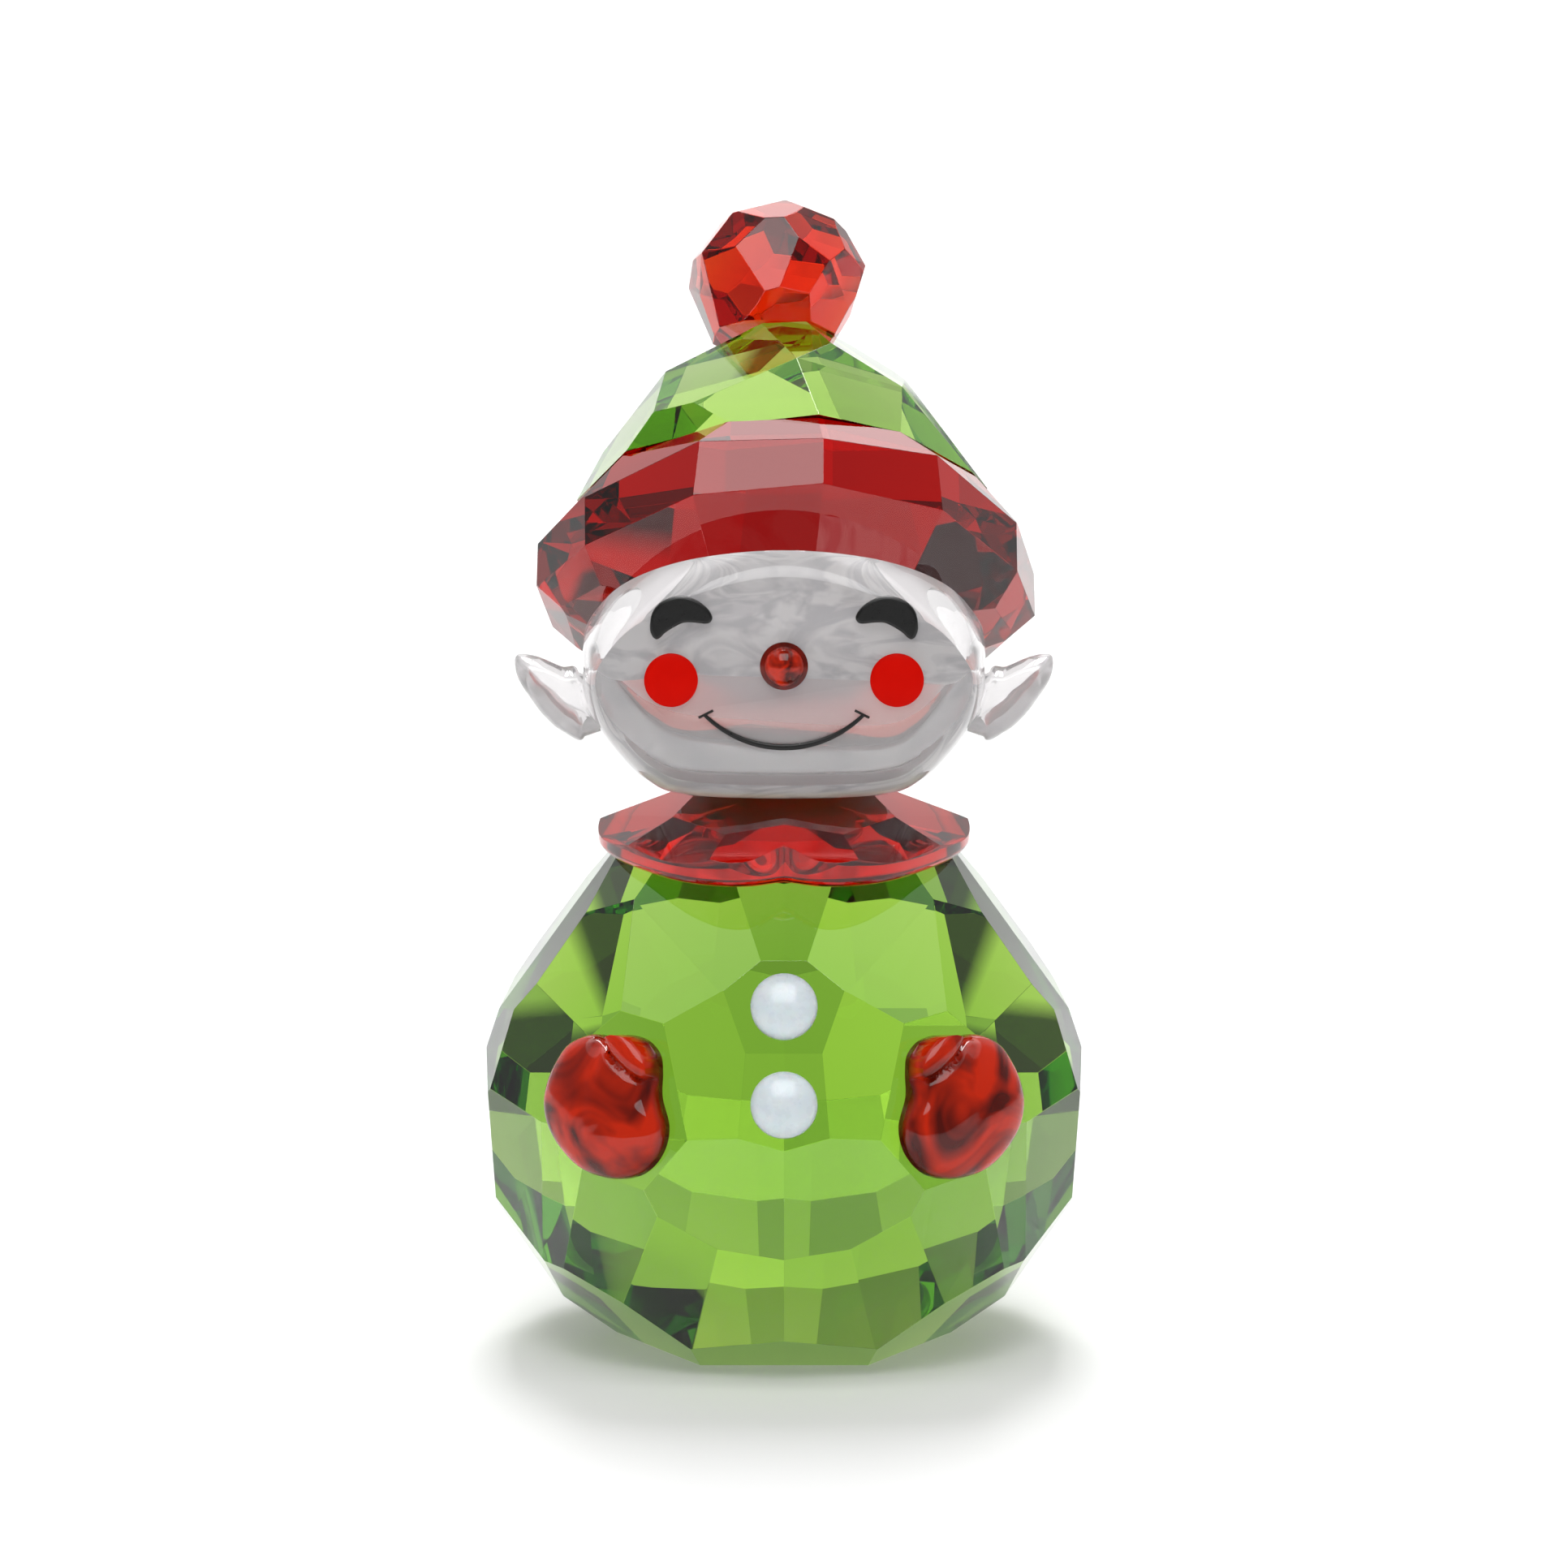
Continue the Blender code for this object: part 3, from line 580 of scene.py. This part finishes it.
def linked(name, data):
    """A new object, linked to the scene."""
    thing = bpy.data.objects.new(name, data)
    bpy.context.scene.collection.objects.link(thing)
    return thing


def finished(name, mesh, material, node):
    """Give a mesh its finish and let it stand for its node on the one body."""
    mesh.materials.clear()
    mesh.materials.append(material)
    piece = linked(name, mesh)
    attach(piece, "root")
    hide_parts(node)
    return piece


def mesh_of(bm, name, sharp=35.0):
    """A mesh with smooth skin, except on its large flats, which have many corners."""
    bmesh.ops.recalc_face_normals(bm, faces=bm.faces)
    for face in bm.faces:
        face.smooth = len(face.verts) <= FLAT_SIDES
    mesh = bpy.data.meshes.new(name)
    bm.to_mesh(mesh)
    bm.free()
    mesh.set_sharp_from_angle(angle=radians(sharp))
    return mesh


def rounded(piece, width, segments=3, angle=30.0):
    """Round a piece's sharp edges."""
    bevel = piece.modifiers.new("polished_edges", "BEVEL")
    bevel.width = width
    bevel.segments = segments
    bevel.limit_method = "ANGLE"
    bevel.angle_limit = radians(angle)
    bevel.harden_normals = False


# Cut stones carried over from the frame

def polish_stone(node, material):
    """Join the stone's loose triangles into facets and break their edges as a polisher does."""
    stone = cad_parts[node]
    weld = stone.modifiers.new("joined", "WELD")
    weld.merge_threshold = 0.001 * MM
    facets = stone.modifiers.new("facets", "DECIMATE")
    facets.decimate_type = "DISSOLVE"
    facets.angle_limit = radians(0.3)
    rounded(stone, EDGE_POLISH, 1, 2.0)
    for slot in stone.material_slots:
        slot.material = material


# Pieces made anew

def collar_ring(inset, height):
    """The ruff's outline: a circle with a lobe at either side of a notch in front."""
    ring = []
    for step in range(COLLAR_STEPS):
        turn = 360.0 * step / COLLAR_STEPS
        azimuth = (turn + 180.0) % 360.0 - 180.0
        lobe = exp(-((abs(azimuth) / COLLAR_LOBE_AZIMUTH - 1.0) ** 2))
        notch = exp(-((azimuth / COLLAR_NOTCH_AZIMUTH) ** 2))
        radius = COLLAR_RADIUS + COLLAR_LOBE * lobe - COLLAR_NOTCH * notch - inset
        ring.append((-radius * sin(radians(azimuth)), -radius * cos(radians(azimuth)), height))
    return ring


def make_collar():
    """A low ruff with a rounded lower rim and sloping facets on top."""
    rings = []
    for step in range(COLLAR_RIM_STEPS + 1):
        angle = pi / 2 * step / COLLAR_RIM_STEPS
        inset = COLLAR_ROUNDING * (1.0 - sin(angle))
        rings.append(collar_ring(inset, COLLAR_ROUNDING * (1.0 - cos(angle))))
    rings.append(collar_ring(0.0, COLLAR_HEIGHT))
    bm = loft(rings)
    for azimuth, tilt, depth in COLLAR_FACETS:
        for side in (azimuth, -azimuth) if azimuth % 180.0 else (azimuth,):
            normal = facet_normal(side, tilt)
            cut_away(bm, normal * depth * MM, normal)
    bmesh.ops.translate(bm, verts=bm.verts, vec=(0.0, 0.0, COLLAR_BASE))
    bmesh.ops.remove_doubles(bm, verts=bm.verts, dist=COLLAR_WELD)
    mesh = mesh_of(bm, "collar_ruff", COLLAR_SHARP)
    piece = finished("collar_ruff", mesh, red_glass("collar_glass"), "collar")
    rounded(piece, EDGE_POLISH, 1, COLLAR_SHARP)


def head_outline(steps):
    """The head's outline seen from the front, from its top down the viewer's right and up the left."""
    half = HEAD_HALF_OUTLINE
    left = [(-x, z) for x, z in half[1:-1]][::-1]
    wide = HEAD_WIDTH / max(x for x, z in half) / 2
    tall = HEAD_HEIGHT / (half[0][1] - half[-1][1])
    return [(x * wide, z * tall) for x, z in smooth_curve(half + left, steps)]


def head_sections(steps, rounds):
    """Rings from the face panel, over a faint crease, round to the back panel."""
    outline = head_outline(steps)
    top = outline[0][1]
    bottom = outline[len(outline) // 2][1]
    narrow = FACE_PANEL_WIDTH / HEAD_WIDTH
    squeeze = (FACE_PANEL_TOP - FACE_PANEL_BOTTOM) / (top - bottom)
    centre = (FACE_PANEL_TOP - top * squeeze) / (1.0 - squeeze)
    crease = radians(PANEL_CREASE)
    front = [crease + (pi / 2 - crease) * k / rounds for k in range(rounds + 1)]
    sections = []
    for half, angles in (("front", front), ("back", front[::-1])):
        for angle in angles:
            inset = (1.0 - sin(angle)) / (1.0 - sin(crease))
            away = HEAD_ROUNDING * (1.0 - cos(angle) / cos(crease))
            if half == "back":
                away = HEAD_DEPTH - away
            ring = []
            for x, z in outline:
                across = x * (1.0 - (1.0 - narrow) * inset)
                height = centre + (z - centre) * (1.0 - (1.0 - squeeze) * inset)
                ring.append((across, face_plane_y(height) + away, HEAD_BASE + height))
            sections.append(ring)
    return sections


def head_slot(face):
    """1 for the lacquered base, 3 for the hat's seat, 2 for the back panel and 0 for the rest."""
    flat = len(face.vertices) > FLAT_SIDES
    if face.center.z < HEAD_BASE + HAIR:
        return 1
    if flat and face.normal.z > 0.6:
        return 3
    if flat and face.normal.y > 0.9:
        return 2
    return 0


def make_head():
    """A clear pebble with a face panel, ground flat where it sits and where the hat sits."""
    bm = loft(head_sections(10, 14))
    lean = radians(SEAT_LEAN)
    cut_away(bm, Vector((0.0, 0.0, HEAD_BASE)), Vector((0.0, 0.0, -1.0)))
    cut_away(bm, SEAT_POINT, Vector((0.0, sin(lean), cos(lean))))
    material = clear_glass("head_glass", (120.0, 0.05 * MM, 1.0))
    mesh = mesh_of(bm, "head_pebble")
    piece = finished("head_pebble", mesh, material, "head")
    mesh.materials.append(white_backing("head_backing"))
    mesh.materials.append(pearl_glass("head_back"))
    mesh.materials.append(seat_coat("head_seat_coat"))
    for face in mesh.polygons:
        face.material_index = head_slot(face)
    rounded(piece, HEAD_EDGE)


def head_half_width(height):
    """How far the head's side lies from its middle at a height."""
    outline = head_outline(8)
    tall = len(outline) // 2
    for (x0, z0), (x1, z1) in zip(outline[:tall], outline[1:tall]):
        if z1 <= height <= z0:
            return x0 + (x1 - x0) * (z0 - height) / (z0 - z1)
    return HEAD_WIDTH / 2


def ear_sections(steps=9, rounds=14, root_steps=14):
    """Rings of a pointed leaf with a shallow dish in its front, its root along the head's side."""
    leaf = smooth_curve(EAR_OUTLINE, steps)[: (len(EAR_OUTLINE) - 1) * steps + 1]
    outline = [(-HEAD_WIDTH / 2 - x * MM, z * MM) for x, z in leaf]
    bottom, top = EAR_ROOT
    for k in range(root_steps + 1):
        height = bottom + (top - bottom) * k / root_steps
        outline.append((-head_half_width(height) - GLUE_LINE, height))
    middle = (bottom + top) / 2
    heart = Vector((-head_half_width(middle) - EAR_HEART, middle))
    sections = []
    for k in range(-rounds, rounds + 1):
        angle = radians(EAR_SWEEP) * k / rounds
        dished = min(max((-sin(angle) - EAR_DISH_START) / (1.0 - EAR_DISH_START), 0.0), 1.0)
        dish = EAR_DISH * dished * dished * (3.0 - 2.0 * dished)
        ring = []
        for point in outline:
            x, z = heart + (Vector(point) - heart) * cos(angle)
            y = face_plane_y(z) + EAR_SETBACK + EAR_THICKNESS / 2 * sin(angle) + dish
            ring.append((x, y, HEAD_BASE + z))
        sections.append(ring)
    return sections


def make_ears():
    for side, bm in both_sides(ear_sections()):
        name = "ear_leaf_" + side
        material = clear_glass(name + "_glass", (240.0, 0.06 * MM, 1.0))
        piece = finished(name, mesh_of(bm, name, 50.0), material, "ear_" + side)


def with_thumb(x, y, height):
    """The mitten's height at a point of its flat, with the thumb pressed onto the hand."""
    turn = radians(THUMB_TURN)
    dx = x - THUMB_CENTRE[0]
    dy = y - THUMB_CENTRE[1]
    along = (dx * cos(turn) + dy * sin(turn)) / THUMB_LENGTH
    across = (-dx * sin(turn) + dy * cos(turn)) / THUMB_WIDTH
    reach = sqrt(along ** 2 + across ** 2)
    hand = height - THUMB_GROOVE * exp(-(((reach - THUMB_GROOVE_REACH) / THUMB_GROOVE_WIDTH) ** 2))
    if reach >= 1.0:
        return hand
    return max(hand, THUMB_HEIGHT + THUMB_RISE * sqrt(1.0 - reach ** 2))


def mitten_sections(steps=8, rounds=26):
    """Rings of a domed mitten from its flat back out to its crown."""
    seat = body_seat(*MITTEN_FLAT)
    outline = [(x * MM, y * MM) for x, y in smooth_curve(MITTEN_OUTLINE, steps)]
    cx = sum(x for x, y in outline) / len(outline)
    cy = sum(y for x, y in outline) / len(outline)
    sections = []
    for k in range(rounds + 1):
        on_wall = k < MITTEN_WALL_STEPS
        inset = 1.0 if on_wall else 1.0 - (k / rounds) ** MITTEN_DOME_POWER * MITTEN_CROWN
        wall = MITTEN_WALL * min(1.0, k / MITTEN_WALL_STEPS)
        domed = max(0.0, k + 1 - MITTEN_WALL_STEPS) / (rounds + 1 - MITTEN_WALL_STEPS)
        height = MITTEN_THICKNESS * (wall + (1.0 - MITTEN_WALL) * sin(pi / 2 * domed))
        ring = []
        for x, y in outline:
            px = cx + (x - cx) * inset
            py = cy + (y - cy) * inset
            pz = height if on_wall else with_thumb(px, py, height)
            ring.append(seat @ Vector((px, py, pz)))
        sections.append(ring)
    return sections


def make_mittens():
    for side, bm in both_sides(mitten_sections()):
        name = "mitten_glove_" + side
        turn = MITTEN_FLAT[0] if side == "left" else -MITTEN_FLAT[0]
        seat = body_seat(turn, *MITTEN_FLAT[1:])
        waves = (330.0, 0.16 * MM, 1.0, 0.8)
        # The flat and depth that set where the painted shade darkens the mitten
        place = (seat.translation, seat.col[2].xyz, 0.75 * MITTEN_THICKNESS)
        material = pressed_red(name + "_glass", 230.0, waves, *place)
        piece = finished(name, mesh_of(bm, name, 50.0), material, "mitten_" + side)


# Pieces grown from node trees

def new_tree(name, sizes):
    """A geometry tree with named sizes, and its group input."""
    tree = bpy.data.node_groups.new(name, "GeometryNodeTree")
    for size in sizes:
        tree.interface.new_socket(size, in_out="INPUT", socket_type="NodeSocketFloat")
    tree.interface.new_socket("Finish", in_out="INPUT", socket_type="NodeSocketMaterial")
    tree.interface.new_socket("Geometry", in_out="OUTPUT", socket_type="NodeSocketGeometry")
    return tree, tree.nodes.new("NodeGroupInput").outputs


def close_tree(tree, geometry, finish):
    """End a tree as the export needs it: real meshes with their finish."""
    real = put(tree, "GeometryNodeRealizeInstances", {"Geometry": geometry}).outputs["Geometry"]
    dressed = put(tree, "GeometryNodeSetMaterial", {"Geometry": real, "Material": finish})
    end = tree.nodes.new("NodeGroupOutput")
    tree.links.new(dressed.outputs["Geometry"], end.inputs["Geometry"])


def dome_tree():
    """A pressed dome on a low rim: the lower half of a ball is flattened onto the seat."""
    tree, given = new_tree("pressed_dome", ("Radius", "Rise", "Rim", "Waist"))
    ball = put(tree, "GeometryNodeMeshUVSphere", {"Segments": 72, "Rings": 48, "Radius": 1.0})
    place = put(tree, "ShaderNodeSeparateXYZ", {0: tree.nodes.new("GeometryNodeInputPosition").outputs[0]})
    equator = 0.03
    upper = figure(tree, "GREATER_THAN", place.outputs["Z"], equator)
    level = figure(tree, "GREATER_THAN", place.outputs["Z"], -equator)
    height = figure(tree, "MULTIPLY", figure(tree, "MAXIMUM", place.outputs["Z"], 0.0), given["Rise"])
    height = figure(tree, "ADD", height, figure(tree, "MULTIPLY", level, given["Rim"]))
    slimmer = figure(tree, "SUBTRACT", 1.0, given["Waist"])
    width = figure(tree, "SUBTRACT", 1.0, figure(tree, "MULTIPLY", upper, slimmer))
    width = figure(tree, "MULTIPLY", width, given["Radius"])
    x = figure(tree, "MULTIPLY", place.outputs["X"], width)
    y = figure(tree, "MULTIPLY", place.outputs["Y"], width)
    inputs = {"Geometry": ball.outputs["Mesh"], "Position": vector(tree, x, y, height)}
    moved = put(tree, "GeometryNodeSetPosition", inputs)
    close_tree(tree, moved.outputs["Geometry"], given["Finish"])
    return tree


def smile_tree():
    """An enamel line swept along an arc that thins towards its ends, with a tick across each end."""
    sizes = ("Half Width", "Drop", "Line", "Thickness", "Taper", "Tick Length", "Tick Line", "Tick Rise")
    tree, given = new_tree("smile_line", sizes)
    start = vector(tree, figure(tree, "MULTIPLY", given["Half Width"], -1.0))
    middle = vector(tree, 0.0, figure(tree, "MULTIPLY", given["Drop"], -1.0))
    end = vector(tree, given["Half Width"])
    inputs = {"Resolution": 96, "Start": start, "Middle": middle, "End": end}
    arc = put(tree, "GeometryNodeCurveArc", inputs, mode="POINTS")
    along = put(tree, "GeometryNodeSplineParameter").outputs["Factor"]
    swell = figure(tree, "SINE", figure(tree, "MULTIPLY", along, pi))
    fall = figure(tree, "MULTIPLY", figure(tree, "SUBTRACT", 1.0, swell), given["Taper"])
    half = figure(tree, "MULTIPLY", given["Line"], 0.5)
    radius = figure(tree, "MULTIPLY", figure(tree, "SUBTRACT", 1.0, fall), half)
    lip = put(tree, "GeometryNodeSetCurveRadius", {"Curve": arc.outputs["Curve"], "Radius": radius})
    parts = [lip.outputs["Curve"]]
    for side in (-1.0, 1.0):
        lean = figure(tree, "MULTIPLY", figure(tree, "COSINE", given["Tick Rise"]), -side)
        reach = vector(tree, lean, figure(tree, "SINE", given["Tick Rise"]))
        corner = vector(tree, figure(tree, "MULTIPLY", given["Half Width"], side))
        ends = []
        for share in TICK_ENDS:
            step = figure(tree, "MULTIPLY", given["Tick Length"], share)
            away = put(tree, "ShaderNodeVectorMath", {0: reach, "Scale": step}, operation="SCALE").outputs[0]
            ends.append(put(tree, "ShaderNodeVectorMath", {0: corner, 1: away}, operation="ADD").outputs[0])
        tick = put(tree, "GeometryNodeCurvePrimitiveLine", {"Start": ends[0], "End": ends[1]})
        thin = figure(tree, "MULTIPLY", given["Tick Line"], 0.5)
        mark = put(tree, "GeometryNodeSetCurveRadius", {"Curve": tick.outputs["Curve"], "Radius": thin})
        parts.append(mark.outputs["Curve"])
    lines = tree.nodes.new("GeometryNodeJoinGeometry")
    for part in parts:
        tree.links.new(part, lines.inputs["Geometry"])
    ring = put(tree, "GeometryNodeCurvePrimitiveCircle", {"Resolution": 16, "Radius": 1.0})
    inputs = {"Curve": lines.outputs["Geometry"], "Profile Curve": ring.outputs["Curve"], "Fill Caps": True}
    swept = put(tree, "GeometryNodeCurveToMesh", inputs)
    if "Scale" in swept.inputs:
        width = put(tree, "GeometryNodeInputRadius").outputs["Radius"]
        tree.links.new(width, swept.inputs["Scale"])
    flat = figure(tree, "DIVIDE", given["Thickness"], given["Line"])
    raised = vector(tree, 0.0, 0.0, figure(tree, "MULTIPLY", given["Thickness"], 0.5))
    thinner = vector(tree, 1.0, 1.0, flat)
    inputs = {"Geometry": swept.outputs["Mesh"], "Translation": raised, "Scale": thinner}
    placed = put(tree, "GeometryNodeTransform", inputs)
    close_tree(tree, placed.outputs["Geometry"], given["Finish"])
    return tree


def grown(tree, name, sizes, material, seat):
    """Run a tree with its sizes and keep what it makes as a plain mesh on its seat."""
    host = linked(name + "_host", bpy.data.meshes.new(name + "_host"))
    modifier = host.modifiers.new("grown", "NODES")
    modifier.node_group = tree
    for item in tree.interface.items_tree:
        if item.in_out == "INPUT":
            modifier[item.identifier] = material if item.name == "Finish" else sizes[item.name]
    graph = bpy.context.evaluated_depsgraph_get()
    mesh = bpy.data.meshes.new_from_object(host.evaluated_get(graph))
    bpy.data.objects.remove(host, do_unlink=True)
    mesh.name = name
    mesh.transform(seat)
    mesh.shade_smooth()
    mesh.set_sharp_from_angle(angle=radians(40.0))
    return mesh


def make_buttons(tree):
    for node, (azimuth, tilt, depth, up) in BUTTONS.items():
        name = node.replace("button", "button_dome")
        material = opal(name + "_opal")
        mesh = grown(tree, name, BUTTON, material, body_seat(azimuth, tilt, depth, up))
        finished(name, mesh, material, node)


def make_nose(tree):
    seat = face_seat(0.0, NOSE_HEIGHT)
    # The flat and depth that set where the painted shade darkens the nose
    place = (seat.translation, seat.col[2].xyz, NOSE["Rise"])
    material = pressed_red("nose_glass", 700.0, (900.0, 0.03 * MM, 1.0), *place)
    mesh = grown(tree, "nose_dome", NOSE, material, seat)
    finished("nose_dome", mesh, material, "nose")


def make_cheeks(tree):
    for side, across in (("left", -CHEEK_SPREAD), ("right", CHEEK_SPREAD)):
        name = "cheek_disc_" + side
        material = satin_red(name + "_enamel")
        mesh = grown(tree, name, CHEEK, material, face_seat(across, CHEEK_HEIGHT))
        finished(name, mesh, material, "cheek_" + side)


def make_eyes():
    """Raised crescents with a round edge."""
    outline = [(x * MM, y * MM) for x, y in smooth_curve(EYE_OUTLINE, 7)]
    seat = face_seat(-EYE_SPREAD, EYE_HEIGHT)
    sections = [[seat @ Vector((x, y, z)) for x, y in outline] for z in (0.0, EYE_THICKNESS)]
    for side, bm in both_sides(sections):
        name = "eye_crescent_" + side
        piece = finished(name, mesh_of(bm, name), black_enamel(name + "_enamel"), "eye_" + side)
        rounded(piece, EYE_ROUNDING, 4, 60.0)


def make_smile():
    material = black_enamel("smile_enamel")
    mesh = grown(smile_tree(), "smile_line", SMILE, material, face_seat(0.0, SMILE_HEIGHT))
    finished("smile_line", mesh, material, "mouth")


# Studio

def make_camera():
    """A very long lens, turned down, that takes in the picture's width at the aim."""
    data = bpy.data.cameras.new("long_lens")
    data.lens = LENS
    data.sensor_width = SENSOR
    camera = linked("long_lens", data)
    down = radians(LOOK_DOWN)
    away = PICTURE_WIDTH * LENS / SENSOR
    camera.location = AIM + Vector((0.0, -cos(down), sin(down))) * away
    camera.rotation_euler = (pi / 2 - down, 0.0, 0.0)
    bpy.context.scene.camera = camera


def seen_directly(tree):
    """1 for what the camera sees, straight, in a gloss or through glass."""
    path = put(tree, "ShaderNodeLightPath").outputs
    seen = figure(tree, "MAXIMUM", path["Is Camera Ray"], path["Is Glossy Ray"])
    return figure(tree, "MAXIMUM", seen, path["Is Transmission Ray"])


def make_sheet(name, half, segments, height):
    """A square sheet that lies level."""
    bm = bmesh.new()
    bmesh.ops.create_grid(bm, x_segments=segments, y_segments=segments, size=half)
    bmesh.ops.translate(bm, verts=bm.verts, vec=(0.0, 0.0, height))
    mesh = bpy.data.meshes.new(name)
    bm.to_mesh(mesh)
    bm.free()
    return linked(name, mesh)


def make_floor():
    """A white table that keeps the shadow."""
    floor = make_sheet("table_top", FLOOR_SIZE / 2, 4, -FLOOR_DROP)
    material, tree, shader = new_finish("table_white", {"Specular IOR Level": 0.0, "Roughness": 0.9})
    tinted(tree, shader, clouds(tree, 30.0), (0.80, 0.80, 0.80), (0.82, 0.82, 0.82))
    shader.inputs["Emission Color"].default_value = (1.0, 1.0, 1.0, 1.0)
    strength = figure(tree, "MULTIPLY", seen_directly(tree), FLOOR_GLOW)
    tree.links.new(strength, shader.inputs["Emission Strength"])
    floor.data.materials.append(material)


def make_world():
    """Soft studio surroundings, dimmer in the gloss towards the front, and plain white to the camera."""
    world = bpy.data.worlds.new("studio")
    world.use_nodes = True
    bpy.context.scene.world = world
    tree = world.node_tree
    tree.nodes.clear()
    way = put(tree, "ShaderNodeTexCoord").outputs["Generated"]
    place = put(tree, "ShaderNodeSeparateXYZ", {0: way})
    aside = figure(tree, "ABSOLUTE", place.outputs["X"])
    turn = figure(tree, "DEGREES", figure(tree, "ARCTAN2", aside, place.outputs["Y"]))
    rise = place.outputs["Z"]
    through = stepped(tree, turn, THROUGH_AROUND)
    through = figure(tree, "MULTIPLY", through, stepped(tree, rise, THROUGH_RISE))
    gloss = figure(tree, "MULTIPLY", stepped(tree, turn, GLOSS_AROUND), stepped(tree, rise, GLOSS_RISE))
    screen = figure(tree, "MULTIPLY", stepped(tree, aside, SCREEN_ASIDE), stepped(tree, rise, SCREEN_RISE))
    screen = figure(tree, "MULTIPLY", screen, figure(tree, "GREATER_THAN", place.outputs["Y"], 0.0))
    gloss = figure(tree, "ADD", gloss, screen)
    paths = put(tree, "ShaderNodeLightPath").outputs
    passed = figure(tree, "MULTIPLY", through, paths["Is Transmission Ray"])
    thrown = figure(tree, "MULTIPLY", gloss, figure(tree, "SUBTRACT", 1.0, paths["Is Transmission Ray"]))
    strength = figure(tree, "ADD", passed, thrown)
    dimmed = scaled(tree, paths["Is Diffuse Ray"], 0.0, 1.0, 1.0, DIFFUSE_SHARE)
    strength = figure(tree, "MULTIPLY", strength, dimmed)
    around = put(tree, "ShaderNodeBackground", {"Color": (1.0, 1.0, 1.0, 1.0), "Strength": strength})
    white = put(tree, "ShaderNodeBackground", {"Color": (1.0, 1.0, 1.0, 1.0), "Strength": 1.0})
    mix = put(tree, "ShaderNodeMixShader", {0: paths["Is Camera Ray"]})
    tree.links.new(around.outputs[0], mix.inputs[1])
    tree.links.new(white.outputs[0], mix.inputs[2])
    end = tree.nodes.new("ShaderNodeOutputWorld")
    tree.links.new(mix.outputs[0], end.inputs["Surface"])


def add_softbox(name, azimuth, elevation, distance, width, height, radiance):
    """A light that faces the figurine but isn't seen through its glass, with white as brightness 1."""
    light = bpy.data.lights.new(name, "AREA")
    light.shape = "RECTANGLE"
    light.size = width
    light.size_y = height
    light.energy = radiance * pi * width * height
    lamp = linked(name, light)
    out = facet_normal(azimuth, elevation)
    lamp.location = AIM + out * distance
    lamp.rotation_mode = "QUATERNION"
    lamp.rotation_quaternion = out.to_track_quat("Z", "Y")
    lamp.visible_transmission = False


def add_card():
    """A card on the table with dark stripes, seen only through the glass, as in glass photography. Its glow
    paints the table's brightness, with a painted shadow near the middle.
    """
    card = make_sheet("striped_card_painted_shadow", TABLE_AWAY_PAINTED_SHADOW[-1][0] * MM, 1, -FLOOR_DROP / 2)
    card.visible_camera = False
    card.visible_diffuse = False
    card.visible_glossy = False
    card.visible_shadow = False
    material, tree, shader = new_finish("card_glow_painted_shadow", {"Specular IOR Level": 0.0, "Roughness": 1.0})
    coordinates = put(tree, "ShaderNodeTexCoord").outputs["Object"]
    place = put(tree, "ShaderNodeSeparateXYZ", {0: coordinates})
    aside = figure(tree, "ABSOLUTE", place.outputs["X"])
    along = figure(tree, "ABSOLUTE", place.outputs["Y"])
    turn = figure(tree, "DEGREES", figure(tree, "ARCTAN2", aside, along))
    away = figure(tree, "MULTIPLY", figure(tree, "MAXIMUM", aside, along), 1.0 / MM)
    # Painted shadow: the glow is dim near the middle, in place of the figurine's shadow on the table
    level = figure(tree, "MULTIPLY", stepped(tree, turn, TABLE_AROUND), stepped(tree, away, TABLE_AWAY_PAINTED_SHADOW))
    level = figure(tree, "MAXIMUM", level, stepped(tree, away, TABLE_FAR))
    shader.inputs["Base Color"].default_value = (0.0, 0.0, 0.0, 1.0)
    shader.inputs["Emission Color"].default_value = (1.0, 1.0, 1.0, 1.0)
    tree.links.new(level, shader.inputs["Emission Strength"])
    card.data.materials.append(material)


def make_studio():
    make_floor()
    make_world()
    add_card()
    for name, place in LIGHTS.items():
        add_softbox(name, *place)
    scene = bpy.context.scene
    scene.view_settings.view_transform = "Standard"
    scene.cycles.max_bounces = 20
    scene.cycles.transmission_bounces = 20
    scene.cycles.glossy_bounces = 16


def make_elf():
    polish_stone("body", green_glass("body_glass"))
    # The cone's facets take a lighter range of painted shade
    cone = green_glass("cone_glass", (0.66, 0.72, 0.62))
    lean = radians(SEAT_LEAN)
    silvered(cone.node_tree, cone.node_tree.nodes["Principled BSDF"], (0.0, -sin(lean), -cos(lean)))
    polish_stone("hat_cone", cone)
    polish_stone("hat_brim", red_glass("brim_glass"))
    polish_stone("pompom", red_glass("pompom_glass", POMPOM_DEPTH))
    make_collar()
    make_head()
    make_ears()
    make_mittens()
    dome = dome_tree()
    make_buttons(dome)
    make_nose(dome)
    make_cheeks(dome)
    make_eyes()
    make_smile()


make_camera()
make_elf()
make_studio()
